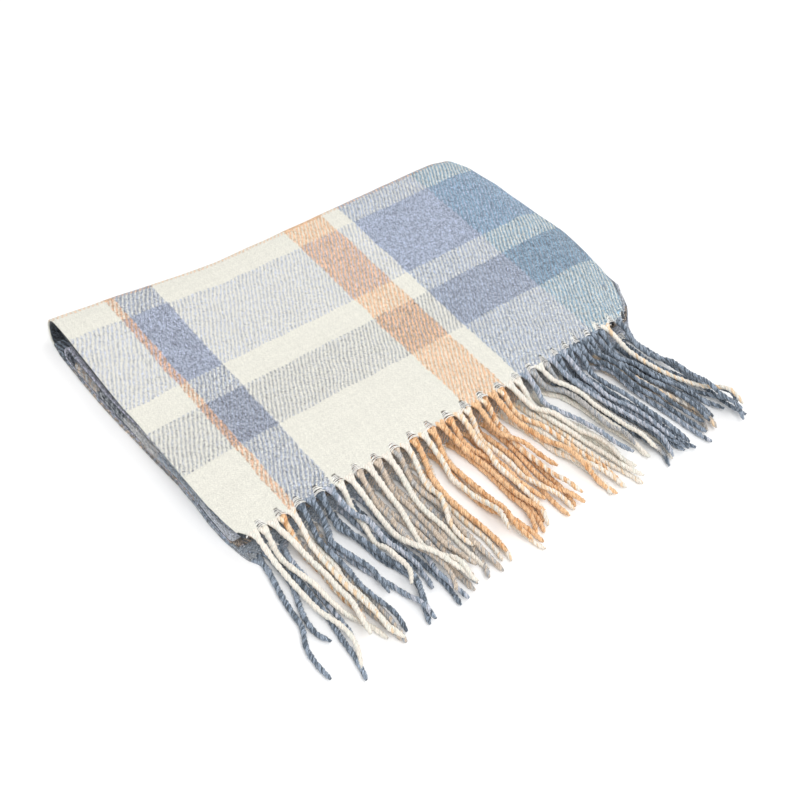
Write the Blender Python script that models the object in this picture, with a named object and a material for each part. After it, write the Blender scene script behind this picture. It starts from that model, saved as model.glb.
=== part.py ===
"""A woven plaid blanket scarf, folded into a flat pad and resting on a table.

The scarf is folded in half along its length and then across it, so that both of its
fringed ends meet at the front. Three stretches of cloth make the pad:

* outer_wrap: the outermost cloth, in two plies. It starts at the upper fringed end, crosses
  the top, rolls round the back fold and returns underneath to the lower fringed end.
* second_wrap: the next stretch, which shows as a smaller loop inside the open left side.
* inner_layers: all the deeper layers as one rounded solid, layered at its edges.

Four rows of twisted tassels, two for each end of the scarf, each grow from a narrow strip
that lies just in front of the cloth's edge.

The pad is first set out as a straight block (x across the pad, y from the fringed front
to the back fold, z up) and then settled into the shape that it takes by hand. All in metres.
"""

import math
import random
from typing import NamedTuple

import bmesh
import bpy
import numpy as np

# Driving dimensions of the folded pad.
PAD_WIDTH = 0.345
PAD_DEPTH = 0.2068
PAD_HEIGHT = 0.0190
PLY_PAIR = 0.0023
SEAM_GAP = 0.0003
SELVEDGE_NOTCH = 0.0007

# The stretch inside the outer wrap.
SECOND_BACK = 0.184
SECOND_SAG = 0.0034
SECOND_FRONT = 0.0040

# The front edge of the lower end lies a little further out than that of the upper end.
LOWER_END_REACH = 0.0070

# Fringe: the strips, the cords that grow from them, and how the cords lie on each other.
TASSEL_PITCH = PAD_WIDTH / 24
TIP_SPREAD = 0.0020
STRIP_HEIGHT = 0.0009
STRIP_DEPTH = 0.0020
ROOT_WIDTH = 0.0052
CORD_WIDTH = 0.0032
TIP_WIDTH = 0.0026
CORD_CLEARANCE = 0.0047
FLOOR_CLEARANCE = 0.0003
CORD_STIFFNESS = 22.0

# A route is worked out in steps. A cord may slip sideways in small shifts to lie lower, which
# it does less readily the sharper it has to bend and the further it has to stray.
LAY_STEP = 0.003
SHIFT_STEP = 0.0011
SHIFT_COUNT = 3
SHIFT_COST = 0.0004
STRAY_COST = 0.80


class Fall(NamedTuple):
    """How tassels with their roots near one place fall.

    The tips lie at this place across the pad, and reach this far forward from the edge.
    """

    roots: float
    tips: float
    reach: float


UPPER_FALLS = (
    Fall(0.0096, 0.019, 0.102), Fall(0.0162, 0.035, 0.094), Fall(0.0226, 0.030, 0.090),
    Fall(0.0293, 0.033, 0.088), Fall(0.0362, 0.036, 0.096), Fall(0.0431, 0.050, 0.097),
    Fall(0.0503, 0.060, 0.072), Fall(0.0575, 0.061, 0.100), Fall(0.0647, 0.081, 0.072),
    Fall(0.0719, 0.065, 0.080), Fall(0.0791, 0.091, 0.099), Fall(0.0863, 0.086, 0.098),
    Fall(0.0934, 0.096, 0.098), Fall(0.1006, 0.103, 0.088), Fall(0.1078, 0.109, 0.092),
    Fall(0.1150, 0.118, 0.095), Fall(0.1222, 0.112, 0.077), Fall(0.1294, 0.129, 0.090),
    Fall(0.1366, 0.133, 0.086), Fall(0.1438, 0.146, 0.096), Fall(0.1509, 0.161, 0.083),
    Fall(0.1581, 0.170, 0.080), Fall(0.1653, 0.164, 0.094), Fall(0.1725, 0.177, 0.094),
    Fall(0.1797, 0.192, 0.066), Fall(0.1869, 0.188, 0.090), Fall(0.1941, 0.214, 0.097),
    Fall(0.2013, 0.231, 0.092), Fall(0.2084, 0.242, 0.086), Fall(0.2156, 0.233, 0.100),
    Fall(0.2225, 0.244, 0.087), Fall(0.2289, 0.247, 0.080), Fall(0.2349, 0.251, 0.090),
    Fall(0.2405, 0.260, 0.098), Fall(0.2458, 0.264, 0.100), Fall(0.2510, 0.267, 0.096),
    Fall(0.2557, 0.273, 0.094), Fall(0.2605, 0.276, 0.097), Fall(0.2652, 0.289, 0.100),
    Fall(0.2698, 0.293, 0.097), Fall(0.2747, 0.298, 0.094), Fall(0.2796, 0.304, 0.096),
    Fall(0.2847, 0.307, 0.088), Fall(0.2900, 0.314, 0.092), Fall(0.2956, 0.329, 0.101),
    Fall(0.3081, 0.327, 0.103),
)
LOWER_FALLS = (
    Fall(0.0069, -0.005, 0.100), Fall(0.0130, 0.003, 0.075), Fall(0.0205, 0.013, 0.108),
    Fall(0.0265, 0.016, 0.079), Fall(0.0335, 0.041, 0.099), Fall(0.0472, 0.050, 0.098),
    Fall(0.0580, 0.060, 0.100), Fall(0.0680, 0.082, 0.080), Fall(0.0780, 0.087, 0.098),
    Fall(0.0930, 0.097, 0.096), Fall(0.1046, 0.106, 0.091), Fall(0.1150, 0.118, 0.096),
    Fall(0.1260, 0.129, 0.092), Fall(0.1350, 0.135, 0.092), Fall(0.1440, 0.147, 0.096),
    Fall(0.1560, 0.162, 0.092), Fall(0.1690, 0.171, 0.084), Fall(0.1780, 0.179, 0.093),
    Fall(0.1870, 0.189, 0.090), Fall(0.2000, 0.214, 0.096), Fall(0.2130, 0.232, 0.098),
    Fall(0.2240, 0.244, 0.088), Fall(0.2340, 0.248, 0.086), Fall(0.2450, 0.262, 0.098),
    Fall(0.2570, 0.275, 0.096), Fall(0.2680, 0.291, 0.099), Fall(0.2810, 0.305, 0.094),
    Fall(0.2920, 0.312, 0.088), Fall(0.3040, 0.326, 0.102),
)


class Edge(NamedTuple):
    """Where the sides of the pad lie at one depth, at its foot, half way up and on top."""

    depth: float
    left_top: float
    left_foot: float
    right_top: float
    right_half: float
    right_foot: float


# The right side is the lengthwise fold: it bows outwards and turns in at both corners, and
# near the front its lower layers stick out from under the top cloth. On the left side the
# lower layers bulge past the selvedges on top of them, but for a stretch near the front.
EDGES = (
    Edge(-0.012, left_top=0.0040, left_foot=0.0046,
         right_top=0.3140, right_half=0.3175, right_foot=0.3175),
    Edge(0.000, left_top=0.0025, left_foot=0.0012,
         right_top=0.3150, right_half=0.3230, right_foot=0.3225),
    Edge(0.014, left_top=-0.0005, left_foot=-0.0014,
         right_top=0.3225, right_half=0.3365, right_foot=0.3345),
    Edge(0.030, left_top=-0.0018, left_foot=-0.0020,
         right_top=0.3290, right_half=0.3455, right_foot=0.3390),
    Edge(0.045, left_top=-0.0018, left_foot=-0.0008,
         right_top=0.3345, right_half=0.3430, right_foot=0.3385),
    Edge(0.065, left_top=-0.0016, left_foot=-0.0006,
         right_top=0.3390, right_half=0.3395, right_foot=0.3385),
    Edge(0.090, left_top=-0.0020, left_foot=-0.0030,
         right_top=0.3410, right_half=0.3405, right_foot=0.3395),
    Edge(0.126, left_top=-0.0025, left_foot=-0.0052,
         right_top=0.3375, right_half=0.3370, right_foot=0.3365),
    Edge(0.160, left_top=-0.0012, left_foot=-0.0060,
         right_top=0.3347, right_half=0.3340, right_foot=0.3335),
    Edge(0.186, left_top=-0.0010, left_foot=-0.0062,
         right_top=0.3303, right_half=0.3300, right_foot=0.3290),
    Edge(0.201, left_top=-0.0015, left_foot=-0.0042,
         right_top=0.3235, right_half=0.3230, right_foot=0.3220),
    Edge(0.209, left_top=-0.0018, left_foot=-0.0020,
         right_top=0.3165, right_half=0.3165, right_foot=0.3160),
)

# How far in from each side the cloth is moved with it.
LEFT_REACH = 0.045
RIGHT_REACH = 0.130

# The back left corner is drawn out, and the front edge runs very slightly askew.
CORNER_PULL = 0.0147
CORNER_REACH = 0.118
FRONT_SKEW = 0.0050


class Ripple(NamedTuple):
    """A soft rise or dip of the pad's top: its centre, its half widths and its height."""

    across: float
    depth: float
    half_across: float
    half_depth: float
    rise: float


RIPPLES = (
    Ripple(across=0.060, depth=0.060, half_across=0.060, half_depth=0.050, rise=0.040),
    Ripple(across=0.120, depth=0.135, half_across=0.055, half_depth=0.045, rise=-0.045),
    Ripple(across=0.210, depth=0.070, half_across=0.070, half_depth=0.050, rise=-0.040),
    Ripple(across=0.250, depth=0.150, half_across=0.060, half_depth=0.050, rise=0.035),
    Ripple(across=0.035, depth=0.190, half_across=0.050, half_depth=0.035, rise=0.060),
)


class Layer(NamedTuple):
    """One layer of the rounded inner solid: its lower and upper height and its insets."""

    bottom: float
    top: float
    left_inset: float
    right_inset: float


INNER_LAYERS = (
    Layer(bottom=0.0052, top=0.0094, left_inset=0.0002, right_inset=0.0060),
    Layer(bottom=0.0094, top=0.0118, left_inset=0.0012, right_inset=0.0048),
    Layer(bottom=0.0118, top=0.0137, left_inset=0.0026, right_inset=0.0064),
)


class FringeRow(NamedTuple):
    """One row of tassels: where its strip lies and how its strands fall."""

    node: str
    edge: float
    height: float
    tassels: int
    stagger: float
    fall: float
    falls: tuple
    colour: tuple
    seed: int


# Laid in this order: the lower end's rows first, then the upper end's rows over them.
FRINGE_ROWS = (
    FringeRow(node="fringe_lower_underside", edge=-LOWER_END_REACH, height=0.00065,
              tassels=24, stagger=-0.22, fall=0.014, falls=LOWER_FALLS, colour=(0.20, 0.26, 0.36),
              seed=11),
    FringeRow(node="fringe_lower_face", edge=-LOWER_END_REACH, height=0.00185,
              tassels=24, stagger=0.25, fall=0.018, falls=LOWER_FALLS, colour=(0.24, 0.31, 0.42),
              seed=23),
    FringeRow(node="fringe_upper_underside", edge=0.0, height=0.01725,
              tassels=22, stagger=0.5, fall=0.030, falls=UPPER_FALLS, colour=(0.62, 0.44, 0.30),
              seed=37),
    FringeRow(node="fringe_upper_face", edge=0.0, height=0.01845,
              tassels=24, stagger=0.0, fall=0.038, falls=UPPER_FALLS, colour=(0.82, 0.78, 0.70),
              seed=41),
)


def clamp(value, low, high):
    """Keep a value between two limits."""
    return max(low, min(high, value))


def smooth(value):
    """Ease from 0 to 1 with level ends."""
    t = clamp(value, 0.0, 1.0)
    return t * t * (3.0 - 2.0 * t)


def edge_at(depth):
    """Blend the rows of EDGES smoothly at one depth."""
    depth = clamp(depth, EDGES[0].depth, EDGES[-1].depth)
    for near, far in zip(EDGES, EDGES[1:]):
        if depth <= far.depth:
            t = (depth - near.depth) / (far.depth - near.depth)
            return Edge(*(a + (b - a) * t for a, b in zip(near, far)))
    return EDGES[-1]


def height_factor(x, y):
    """How far the settled pad rises or sinks against its nominal height."""
    factor = 1.0
    for ripple in RIPPLES:
        across = (x - ripple.across) / ripple.half_across
        depth = (y - ripple.depth) / ripple.half_depth
        factor += ripple.rise * math.exp(-across * across - depth * depth)
    fold_roll = 1.0 - smooth((PAD_WIDTH - x) / 0.022)
    edge_droop = 1.0 - smooth(y / 0.016)
    return factor - 0.20 * fold_roll * fold_roll - 0.06 * edge_droop


def settle(x, y, z):
    """Move a point of the straight block to where it lies in the hand-folded pad."""
    edge = edge_at(y)
    rise = clamp(z / PAD_HEIGHT, 0.0, 1.0)
    low_share = (1.0 - rise) * (1.0 + 1.2 * rise)
    left = edge.left_top + (edge.left_foot - edge.left_top) * low_share
    belly = edge.right_half - (edge.right_top + edge.right_foot) / 2.0
    right = edge.right_foot + (edge.right_top - edge.right_foot) * rise
    right += belly * 4.0 * rise * (1.0 - rise)
    near_left = 1.0 - smooth(x / LEFT_REACH)
    near_right = 1.0 - smooth((PAD_WIDTH - x) / RIGHT_REACH)
    corner = clamp(1.0 - x / CORNER_REACH, 0.0, 1.0) ** 1.15 * smooth((y - 0.125) / 0.082)
    skew = FRONT_SKEW * (x / PAD_WIDTH - 0.4) * (1.0 - smooth(y / 0.12))
    return (
        x + left * near_left + (right - PAD_WIDTH) * near_right,
        y + CORNER_PULL * corner + skew,
        z * height_factor(x, y),
    )


def arc(centre_y, centre_z, radius, start, end, steps):
    """Points (y, z) along an arc, in degrees from +y towards +z."""
    points = []
    for index in range(steps + 1):
        angle = math.radians(start + (end - start) * index / steps)
        points.append((centre_y + radius * math.cos(angle), centre_z + radius * math.sin(angle)))
    return points


def outward_normals(path):
    """Unit normals of an open (y, z) path that turns clockwise seen from +x."""
    normals = []
    for index in range(len(path)):
        before = path[max(index - 1, 0)]
        after = path[min(index + 1, len(path) - 1)]
        along_y = after[0] - before[0]
        along_z = after[1] - before[1]
        length = math.hypot(along_y, along_z)
        normals.append((-along_z / length, along_y / length))
    return normals


def wall_ring(path_point, normal, stations, thickness):
    """One closed ring round a cloth wall, across the pad at one place of its path.

    The right edge is rounded, as the lengthwise fold is. The left edge is notched between
    its two plies' selvedges.
    """
    (y, z), (ny, nz) = path_point, normal
    half = thickness / 2.0
    last = stations[-1]

    def place(x, inward):
        return settle(x, y - ny * inward, z - nz * inward)

    ring = [place(x, 0.0) for x in stations]
    for degrees in (45, 90, 135):
        angle = math.radians(degrees)
        ring.append(place(last + half * math.sin(angle), half - half * math.cos(angle)))
    ring += [place(x, thickness) for x in reversed(stations)]
    ring.append(place(stations[0] + SELVEDGE_NOTCH, half))
    return ring


def bridge(bm, first, second):
    """Join two rings of equal length with quads."""
    for index in range(len(first)):
        after = (index + 1) % len(first)
        bm.faces.new((first[index], first[after], second[after], second[index]))


def cap_wall(bm, ring, station_count):
    """Close the end of a cloth wall, whose ring runs out along one face and back."""
    count = len(ring)
    outer = ring[:station_count]
    inner = ring[station_count + 3:count - 1][::-1]
    for index in range(station_count - 1):
        bm.faces.new((outer[index], outer[index + 1], inner[index + 1], inner[index]))
    bm.faces.new((outer[0], inner[0], ring[count - 1]))
    bm.faces.new((outer[-1], *ring[station_count:station_count + 3], inner[-1]))


def finish_object(bm, name, colour, roughness):
    """Turn a bmesh into a named object with its own fabric material."""
    bmesh.ops.recalc_face_normals(bm, faces=bm.faces[:])
    mesh = bpy.data.meshes.new(name)
    bm.to_mesh(mesh)
    bm.free()
    material = bpy.data.materials.new(name + "_cloth")
    material.use_nodes = True
    shader = material.node_tree.nodes["Principled BSDF"]
    shader.inputs["Base Color"].default_value = (*colour, 1.0)
    shader.inputs["Roughness"].default_value = roughness
    shader.inputs["Metallic"].default_value = 0.0
    mesh.materials.append(material)
    thing = bpy.data.objects.new(name, mesh)
    bpy.context.scene.collection.objects.link(thing)
    return thing


def build_wall(name, path, stations, thickness, colour):
    """Sweep a cloth wall along a (y, z) path across the pad's width."""
    bm = bmesh.new()
    rings = []
    for point, normal in zip(path, outward_normals(path)):
        ring = wall_ring(point, normal, stations, thickness)
        rings.append([bm.verts.new(corner) for corner in ring])
    for first, second in zip(rings, rings[1:]):
        bridge(bm, first, second)
    cap_wall(bm, rings[0], len(stations))
    cap_wall(bm, rings[-1], len(stations))
    return finish_object(bm, name, colour, 0.9)


def spread(start, end, steps):
    """Evenly spaced values from start to end, both included."""
    return [start + (end - start) * index / steps for index in range(steps + 1)]


def outer_wrap():
    """The outermost cloth: top, back fold and underside."""
    radius = PAD_HEIGHT / 2.0
    back = PAD_DEPTH - radius
    path = [(y, PAD_HEIGHT) for y in (0.0, 0.005, 0.013, *spread(0.030, 0.185, 7))]
    path += arc(back, radius, radius, 90, -90, 10)
    path += [(y, 0.0) for y in (0.150, 0.100, 0.050, 0.014, 0.002, -LOWER_END_REACH)]
    stations = [0.0, 0.010, *spread(0.035, 0.310, 9), 0.325, 0.336, PAD_WIDTH - PLY_PAIR / 2.0]
    return build_wall("outer_wrap", path, stations, PLY_PAIR, (0.80, 0.77, 0.72))


def second_sag(y):
    """How far the second stretch has sunk below the top cloth at one depth."""
    return SECOND_SAG * smooth((y - 0.070) / 0.100)


def second_wrap():
    """The next stretch: it sags away from the outer loop towards the back."""
    top = PAD_HEIGHT - PLY_PAIR - SEAM_GAP
    low = PLY_PAIR + SEAM_GAP
    radius = (top - SECOND_SAG - low) / 2.0
    path = [(y, top - second_sag(y)) for y in (SECOND_FRONT, 0.012, *spread(0.024, 0.170, 8))]
    path += arc(SECOND_BACK - radius, low + radius, radius, 90, -90, 8)
    path += [(y, low) for y in (0.120, 0.060, 0.014, SECOND_FRONT)]
    stations = [0.0008, 0.010, *spread(0.035, 0.310, 7), 0.325, 0.336, PAD_WIDTH - 0.0035]
    return build_wall("second_wrap", path, stations, PLY_PAIR, (0.66, 0.66, 0.72))


def inner_ring(y, shrink, sag):
    """One ring round the inner solid: layered left and right edges, level faces."""
    low = INNER_LAYERS[0].bottom
    high = INNER_LAYERS[-1].top
    middle = (low + high) / 2.0
    level_stations = (0.012, *spread(0.035, 0.310, 7), 0.325)

    def place(x, z):
        lowered = z - sag * (z - low) / (high - low)
        return settle(x, y, middle + (lowered - middle) * (1.0 - shrink))

    ring = []
    for layer in INNER_LAYERS:
        span = layer.top - layer.bottom
        for height, inset in ((0.12, 0.0014), (0.5, 0.0), (0.88, 0.0014)):
            x = layer.left_inset + inset + shrink * 0.002
            ring.append(place(x, layer.bottom + span * height))
    ring += [place(x, high) for x in level_stations]
    for layer in reversed(INNER_LAYERS):
        span = layer.top - layer.bottom
        for height, inset in ((0.88, 0.0014), (0.5, 0.0), (0.12, 0.0014)):
            x = PAD_WIDTH - layer.right_inset - inset - shrink * 0.002
            ring.append(place(x, layer.bottom + span * height))
    ring += [place(x, low) for x in reversed(level_stations)]
    return ring


def inner_layers():
    """All the deeper layers of the fold, as one rounded solid."""
    bm = bmesh.new()
    front = SECOND_FRONT + 0.0030
    back = SECOND_BACK - 0.0115
    rounding = ((0.0, 0.62), (0.0007, 0.30), (0.0022, 0.06))
    depths = [(front + step, shrink) for step, shrink in rounding]
    depths += [(y, 0.0) for y in (0.012, *spread(0.024, 0.170, 8))]
    depths += [(back - step, shrink) for step, shrink in reversed(rounding)]
    rings = []
    for y, shrink in depths:
        rings.append([bm.verts.new(corner) for corner in inner_ring(y, shrink, second_sag(y))])
    for first, second in zip(rings, rings[1:]):
        bridge(bm, first, second)
    for ring in (rings[0], rings[-1]):
        bm.faces.new(ring)
    return finish_object(bm, "inner_layers", (0.46, 0.48, 0.53), 0.95)


class Strand(NamedTuple):
    """One tassel's route: its root on the strip, its plan and how far forward it reaches."""

    root_x: float
    drift: float
    sway: float
    wave: float
    phase: float
    reach: float


def strands_of(row):
    """Draw the small differences between the tassels of one row."""
    rng = random.Random(row.seed)
    strands = []
    for index in range(row.tassels):
        root_x = (index + 0.5 + row.stagger) * TASSEL_PITCH
        root_x = clamp(root_x, 0.0040, PAD_WIDTH - 0.0040)
        settled = settle(root_x, row.edge, row.height)[0]
        fall = min(row.falls, key=lambda each: abs(each.roots - settled))
        strands.append(Strand(
            root_x=root_x,
            drift=fall.tips - settled + rng.uniform(-TIP_SPREAD, TIP_SPREAD),
            sway=rng.uniform(0.0005, 0.0022),
            wave=rng.uniform(0.050, 0.085),
            phase=rng.uniform(0.0, 2.0 * math.pi),
            reach=fall.reach + row.edge / 2.0 + rng.uniform(-TIP_SPREAD, TIP_SPREAD),
        ))
    return strands


def free_route(row, strand):
    """The strand's points with nothing under it but the table, LAY_STEP apart."""
    start = settle(strand.root_x, row.edge - SEAM_GAP - STRIP_DEPTH, row.height)
    rest = CORD_WIDTH / 2.0 + FLOOR_CLEARANCE
    points = []
    run = 0.0
    while run < strand.reach:
        away = smooth(run / 0.030)
        sway = strand.sway * math.sin(2.0 * math.pi * run / strand.wave + strand.phase)
        x = start[0] + strand.drift * smooth(run / strand.reach) + sway * away
        sunk = smooth(run / row.fall)
        points.append((x, start[1] - run, start[2] + (rest - start[2]) * sunk ** 0.8))
        run += LAY_STEP / (1.0 + 0.9 * sunk * (1.0 - sunk))
    return points


def clearance_height(x, y, laid):
    """The least height at which a cord clears every strand already lying near (x, y)."""
    plan_squared = (laid[:, 0] - x) ** 2 + (laid[:, 1] - y) ** 2
    near = plan_squared < CORD_CLEARANCE ** 2
    if not near.any():
        return 0.0
    over = laid[near, 2] + np.sqrt(CORD_CLEARANCE ** 2 - plan_squared[near])
    return float(over.max())


def find_hollows(points, laid):
    """Shift a strand sideways, within limits, so that it sinks between earlier ones."""
    shifts = [SHIFT_STEP * step for step in range(-SHIFT_COUNT, SHIFT_COUNT + 1)]
    start = shifts.index(0.0)
    costs = {start: 0.0}
    trails = []
    for index, (x, y, z) in enumerate(points):
        following = {}
        trail = {}
        reach = min(SHIFT_COUNT, max(0, index - 2))
        for place in range(start - reach, start + reach + 1):
            lift = max(0.0, clearance_height(x + shifts[place], y, laid) - z)
            best = min(
                (costs[before] + SHIFT_COST * abs(place - before), before)
                for before in (place - 1, place, place + 1) if before in costs
            )
            following[place] = best[0] + lift + STRAY_COST * abs(shifts[place])
            trail[place] = best[1]
        costs = following
        trails.append(trail)
    place = min(costs, key=costs.get)
    chosen = []
    for trail in reversed(trails):
        chosen.append(place)
        place = trail[place]
    chosen.reverse()
    moved = []
    for index, (x, y, z) in enumerate(points):
        window = chosen[max(0, index - 2):index + 3]
        shift = sum(shifts[near] for near in window) / len(window)
        moved.append((x + shift * smooth(index / 4.0), y, z))
    return moved


def lay_strand(points, laid):
    """Lift a strand over the ones that already lie there, as a stiff cord would arch."""
    need = [clearance_height(x, y, laid) for x, y, _ in points]
    lifted = []
    for index, (x, y, z) in enumerate(points):
        height = z
        for near in range(max(0, index - 8), min(len(points), index + 9)):
            away = math.hypot(x - points[near][0], y - points[near][1])
            height = max(height, need[near] - CORD_STIFFNESS * away * away)
        held = smooth(index / 4.0)
        lifted.append([x, y, z + (height - z) * held])
    return lifted


def section_places(count):
    """Which points of a route carry a section of the strand's body."""
    last = count - 1
    return sorted({0, 2, 4, 7, *(round(7 + (last - 7) * step / 6) for step in range(1, 7))})


def between(route, places, steps):
    """Points along the straight runs between the sections of a strand."""
    points = [tuple(route[0])]
    for start, end in zip(places, places[1:]):
        for step in range(1, steps + 1):
            t = step / steps
            points.append(tuple(a + (b - a) * t for a, b in zip(route[start], route[end])))
    return points


def clear_straight_runs(route, laid):
    """Raise the sections until the straight runs between them clear the other strands."""
    places = section_places(len(route))
    for _ in range(3):
        for start, end in zip(places[1:], places[2:]):
            for step in range(9):
                t = step / 8.0
                x, y, z = (a + (b - a) * t for a, b in zip(route[start], route[end]))
                short = clearance_height(x, y, laid) - z
                if short > 0.0:
                    route[start][2] += short * min(1.0, 2.0 * (1.0 - t))
                    route[end][2] += short * min(1.0, 2.0 * t)
    return route


def lay_all_rows():
    """Lay every row in turn and return, for each, its strands and their routes."""
    laid = np.empty((0, 3))
    rows = []
    for row in FRINGE_ROWS:
        routes = []
        strands = strands_of(row)
        for strand in strands:
            points = find_hollows(free_route(row, strand), laid)
            route = clear_straight_runs(lay_strand(points, laid), laid)
            laid = np.vstack((laid, between(route, section_places(len(route)), 8)))
            routes.append(route)
        rows.append((row, strands, routes))
    return rows


def cross_section(route, index, width, height):
    """Four corners round one point of a route, square to the way it runs."""
    before = route[max(index - 1, 0)]
    after = route[min(index + 1, len(route) - 1)]
    run = [b - a for a, b in zip(before, after)]
    length = math.sqrt(sum(part * part for part in run))
    tangent = [part / length for part in run]
    level = math.hypot(tangent[0], tangent[1])
    side = (-tangent[1] / level, tangent[0] / level, 0.0)
    up = (
        -tangent[0] * tangent[2] / level,
        -tangent[1] * tangent[2] / level,
        level,
    )
    corners = []
    for across, rise in ((-1, -1), (1, -1), (1, 1), (-1, 1)):
        corners.append(tuple(
            middle + across * width / 2.0 * s + rise * height / 2.0 * u
            for middle, s, u in zip(route[index], side, up)
        ))
    return corners


def strand_rings(route):
    """The four-sided sections of a strand after its root, from flat root to tip."""
    last = len(route) - 1
    rings = []
    for index in section_places(len(route))[1:]:
        shaped = smooth(index / 5.0)
        width = ROOT_WIDTH + (CORD_WIDTH - ROOT_WIDTH) * shaped
        height = STRIP_HEIGHT + (CORD_WIDTH - STRIP_HEIGHT) * shaped
        if index == last:
            width = height = TIP_WIDTH
        rings.append(cross_section(route, index, width, height))
    return rings


def fringe(row, strands, routes):
    """One row of tassels on its strip, as a single fused body."""
    bm = bmesh.new()
    front = row.edge - SEAM_GAP - STRIP_DEPTH
    back = row.edge - SEAM_GAP
    low = row.height - STRIP_HEIGHT / 2.0
    high = row.height + STRIP_HEIGHT / 2.0

    def station(x):
        corners = ((front, low), (front, high), (back, high), (back, low))
        return [bm.verts.new(settle(x, y, z)) for y, z in corners]

    ends = [station(0.0005)]
    for strand in strands:
        ends.append(station(strand.root_x - ROOT_WIDTH / 2.0))
        ends.append(station(strand.root_x + ROOT_WIDTH / 2.0))
    ends.append(station(PAD_WIDTH - 0.0005))
    for index, (left, right) in enumerate(zip(ends, ends[1:])):
        for side in (1, 2, 3):
            after = (side + 1) % 4
            bm.faces.new((left[side], left[after], right[after], right[side]))
        if index % 2 == 0:
            bm.faces.new((left[0], left[1], right[1], right[0]))
            continue
        ring = [left[0], right[0], right[1], left[1]]
        for corners in strand_rings(routes[index // 2]):
            following = [bm.verts.new(corner) for corner in corners]
            bridge(bm, ring, following)
            ring = following
        bm.faces.new(ring)
    bm.faces.new(ends[0])
    bm.faces.new(ends[-1])
    return finish_object(bm, row.node, row.colour, 0.95)


def centre_on_table(things):
    """Put the origin under the middle of everything, on the table."""
    corners = [vertex.co for thing in things for vertex in thing.data.vertices]
    low = [min(corner[axis] for corner in corners) for axis in range(3)]
    high = [max(corner[axis] for corner in corners) for axis in range(3)]
    shift = ((low[0] + high[0]) / 2.0, (low[1] + high[1]) / 2.0, 0.0)
    for thing in things:
        for vertex in thing.data.vertices:
            vertex.co.x -= shift[0]
            vertex.co.y -= shift[1]


def main():
    """Clear the scene and build every piece of the folded scarf."""
    for thing in list(bpy.data.objects):
        bpy.data.objects.remove(thing, do_unlink=True)
    things = [outer_wrap(), second_wrap(), inner_layers()]
    things += [fringe(*laid_row) for laid_row in lay_all_rows()]
    centre_on_table(things)


main()
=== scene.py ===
"""A blanket scarf in brushed acrylic twill, folded into a flat pad that rests on a table.

The cloth is woven in one length with tassels at both ends. It is folded in half along its
length and then across, so that both fringed ends meet at the front. What shows of it:

* the outer cloth, two plies: across the top, round the back fold and back underneath;
* the second cloth, the next stretch of two plies, which shows in the open left side;
* the inner cloth, the deeper layers, rounded at the sides;
* four rows of two-ply tassels, two from each end of the scarf.

Each is first set out in a straight block (x across the pad, y from the fringed front to the
back fold, z up) and then settled into the shape that it takes by hand. All in metres, apart
from the tables that rows() reads.
"""

import logging
import math
import random
from dataclasses import astuple, dataclass
from enum import Enum

import bpy
import numpy as np
from mathutils import Matrix, Vector


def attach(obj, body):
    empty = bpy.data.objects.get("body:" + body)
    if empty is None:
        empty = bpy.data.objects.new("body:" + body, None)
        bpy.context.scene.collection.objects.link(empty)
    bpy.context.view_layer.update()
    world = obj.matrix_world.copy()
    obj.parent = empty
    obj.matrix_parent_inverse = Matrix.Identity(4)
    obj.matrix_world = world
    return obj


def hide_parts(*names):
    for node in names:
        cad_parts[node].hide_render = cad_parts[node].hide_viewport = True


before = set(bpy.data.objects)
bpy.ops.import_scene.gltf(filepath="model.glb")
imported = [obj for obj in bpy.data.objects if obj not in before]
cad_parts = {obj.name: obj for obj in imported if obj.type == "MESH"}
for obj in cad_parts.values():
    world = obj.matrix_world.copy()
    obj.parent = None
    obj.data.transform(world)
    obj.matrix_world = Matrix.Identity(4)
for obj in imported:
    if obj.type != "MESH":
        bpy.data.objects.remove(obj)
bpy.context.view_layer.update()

log = logging.getLogger("scarf")
Array = np.ndarray
Point = tuple[float, float, float]

# The pad's main sizes, and where the middle of the finished part lies in the straight block.
PAD_WIDTH = 0.345
PAD_DEPTH = 0.2068
PAD_HEIGHT = 0.0190
MIDDLE = (0.16678635, 0.05351057)
LOWER_END_REACH = 0.0070
SEAM_GAP = 0.0003

# No vertex lies lower than this above the table.
LOWEST = 0.0001

# The cloth: thickness of a ply, and the air between the two plies of a folded width.
PLY = 0.00105
PLY_AIR = 0.00020
SCARF_WIDTH = 2.0 * PAD_WIDTH

# The tassels of one ply, along the cloth's edge, and the bare gap between two roots.
TASSELS = 24
TASSEL_PITCH = PAD_WIDTH / TASSELS
EDGE_MARGIN = 0.0040
BARE_HALF_GAP = 0.0036
BARE_SHOULDER = 0.0024
BARE_DEPTH = 0.0054
BARE_RUN = 0.0095


class Yarn(Enum):
    """The acrylic yarns of the scarf, as sRGB hex values. Most are its dyed colours; the dark ones
    of the hidden layers, such as COAL, CHARCOAL, UMBER and GREY, stand partly for painted shade,
    and PALE is a painted highlight.
    """

    CREAM = "#E9E7DC"
    PEACH = "#E4BA93"
    DENIM = "#98A0B1"
    INDIGO = "#9DA8BC"
    AZURE = "#7897AE"
    CLAY = "#D3AA8B"
    SLATE = "#8C909B"
    MIST = "#A5ACC0"
    IVORY = "#F1E9DD"
    PALE = "#FFFDF8"
    BLUSH = "#F1D5B3"
    APRICOT = "#EBC094"
    RUSSET = "#D29D6C"
    STEEL = "#8D99A8"
    HEATHER = "#BDC1CC"
    NAVY = "#58636F"
    GREY = "#B7B4B1"
    TAUPE = "#CFBFAE"
    CHARCOAL = "#474D55"
    IRON = "#6E747C"
    ASH = "#A2A6AB"
    LAVENDER = "#B4B4C4"
    SAND = "#B5A493"
    UMBER = "#9A6C48"
    STONE = "#8A837C"
    COAL = "#2E3237"


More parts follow.
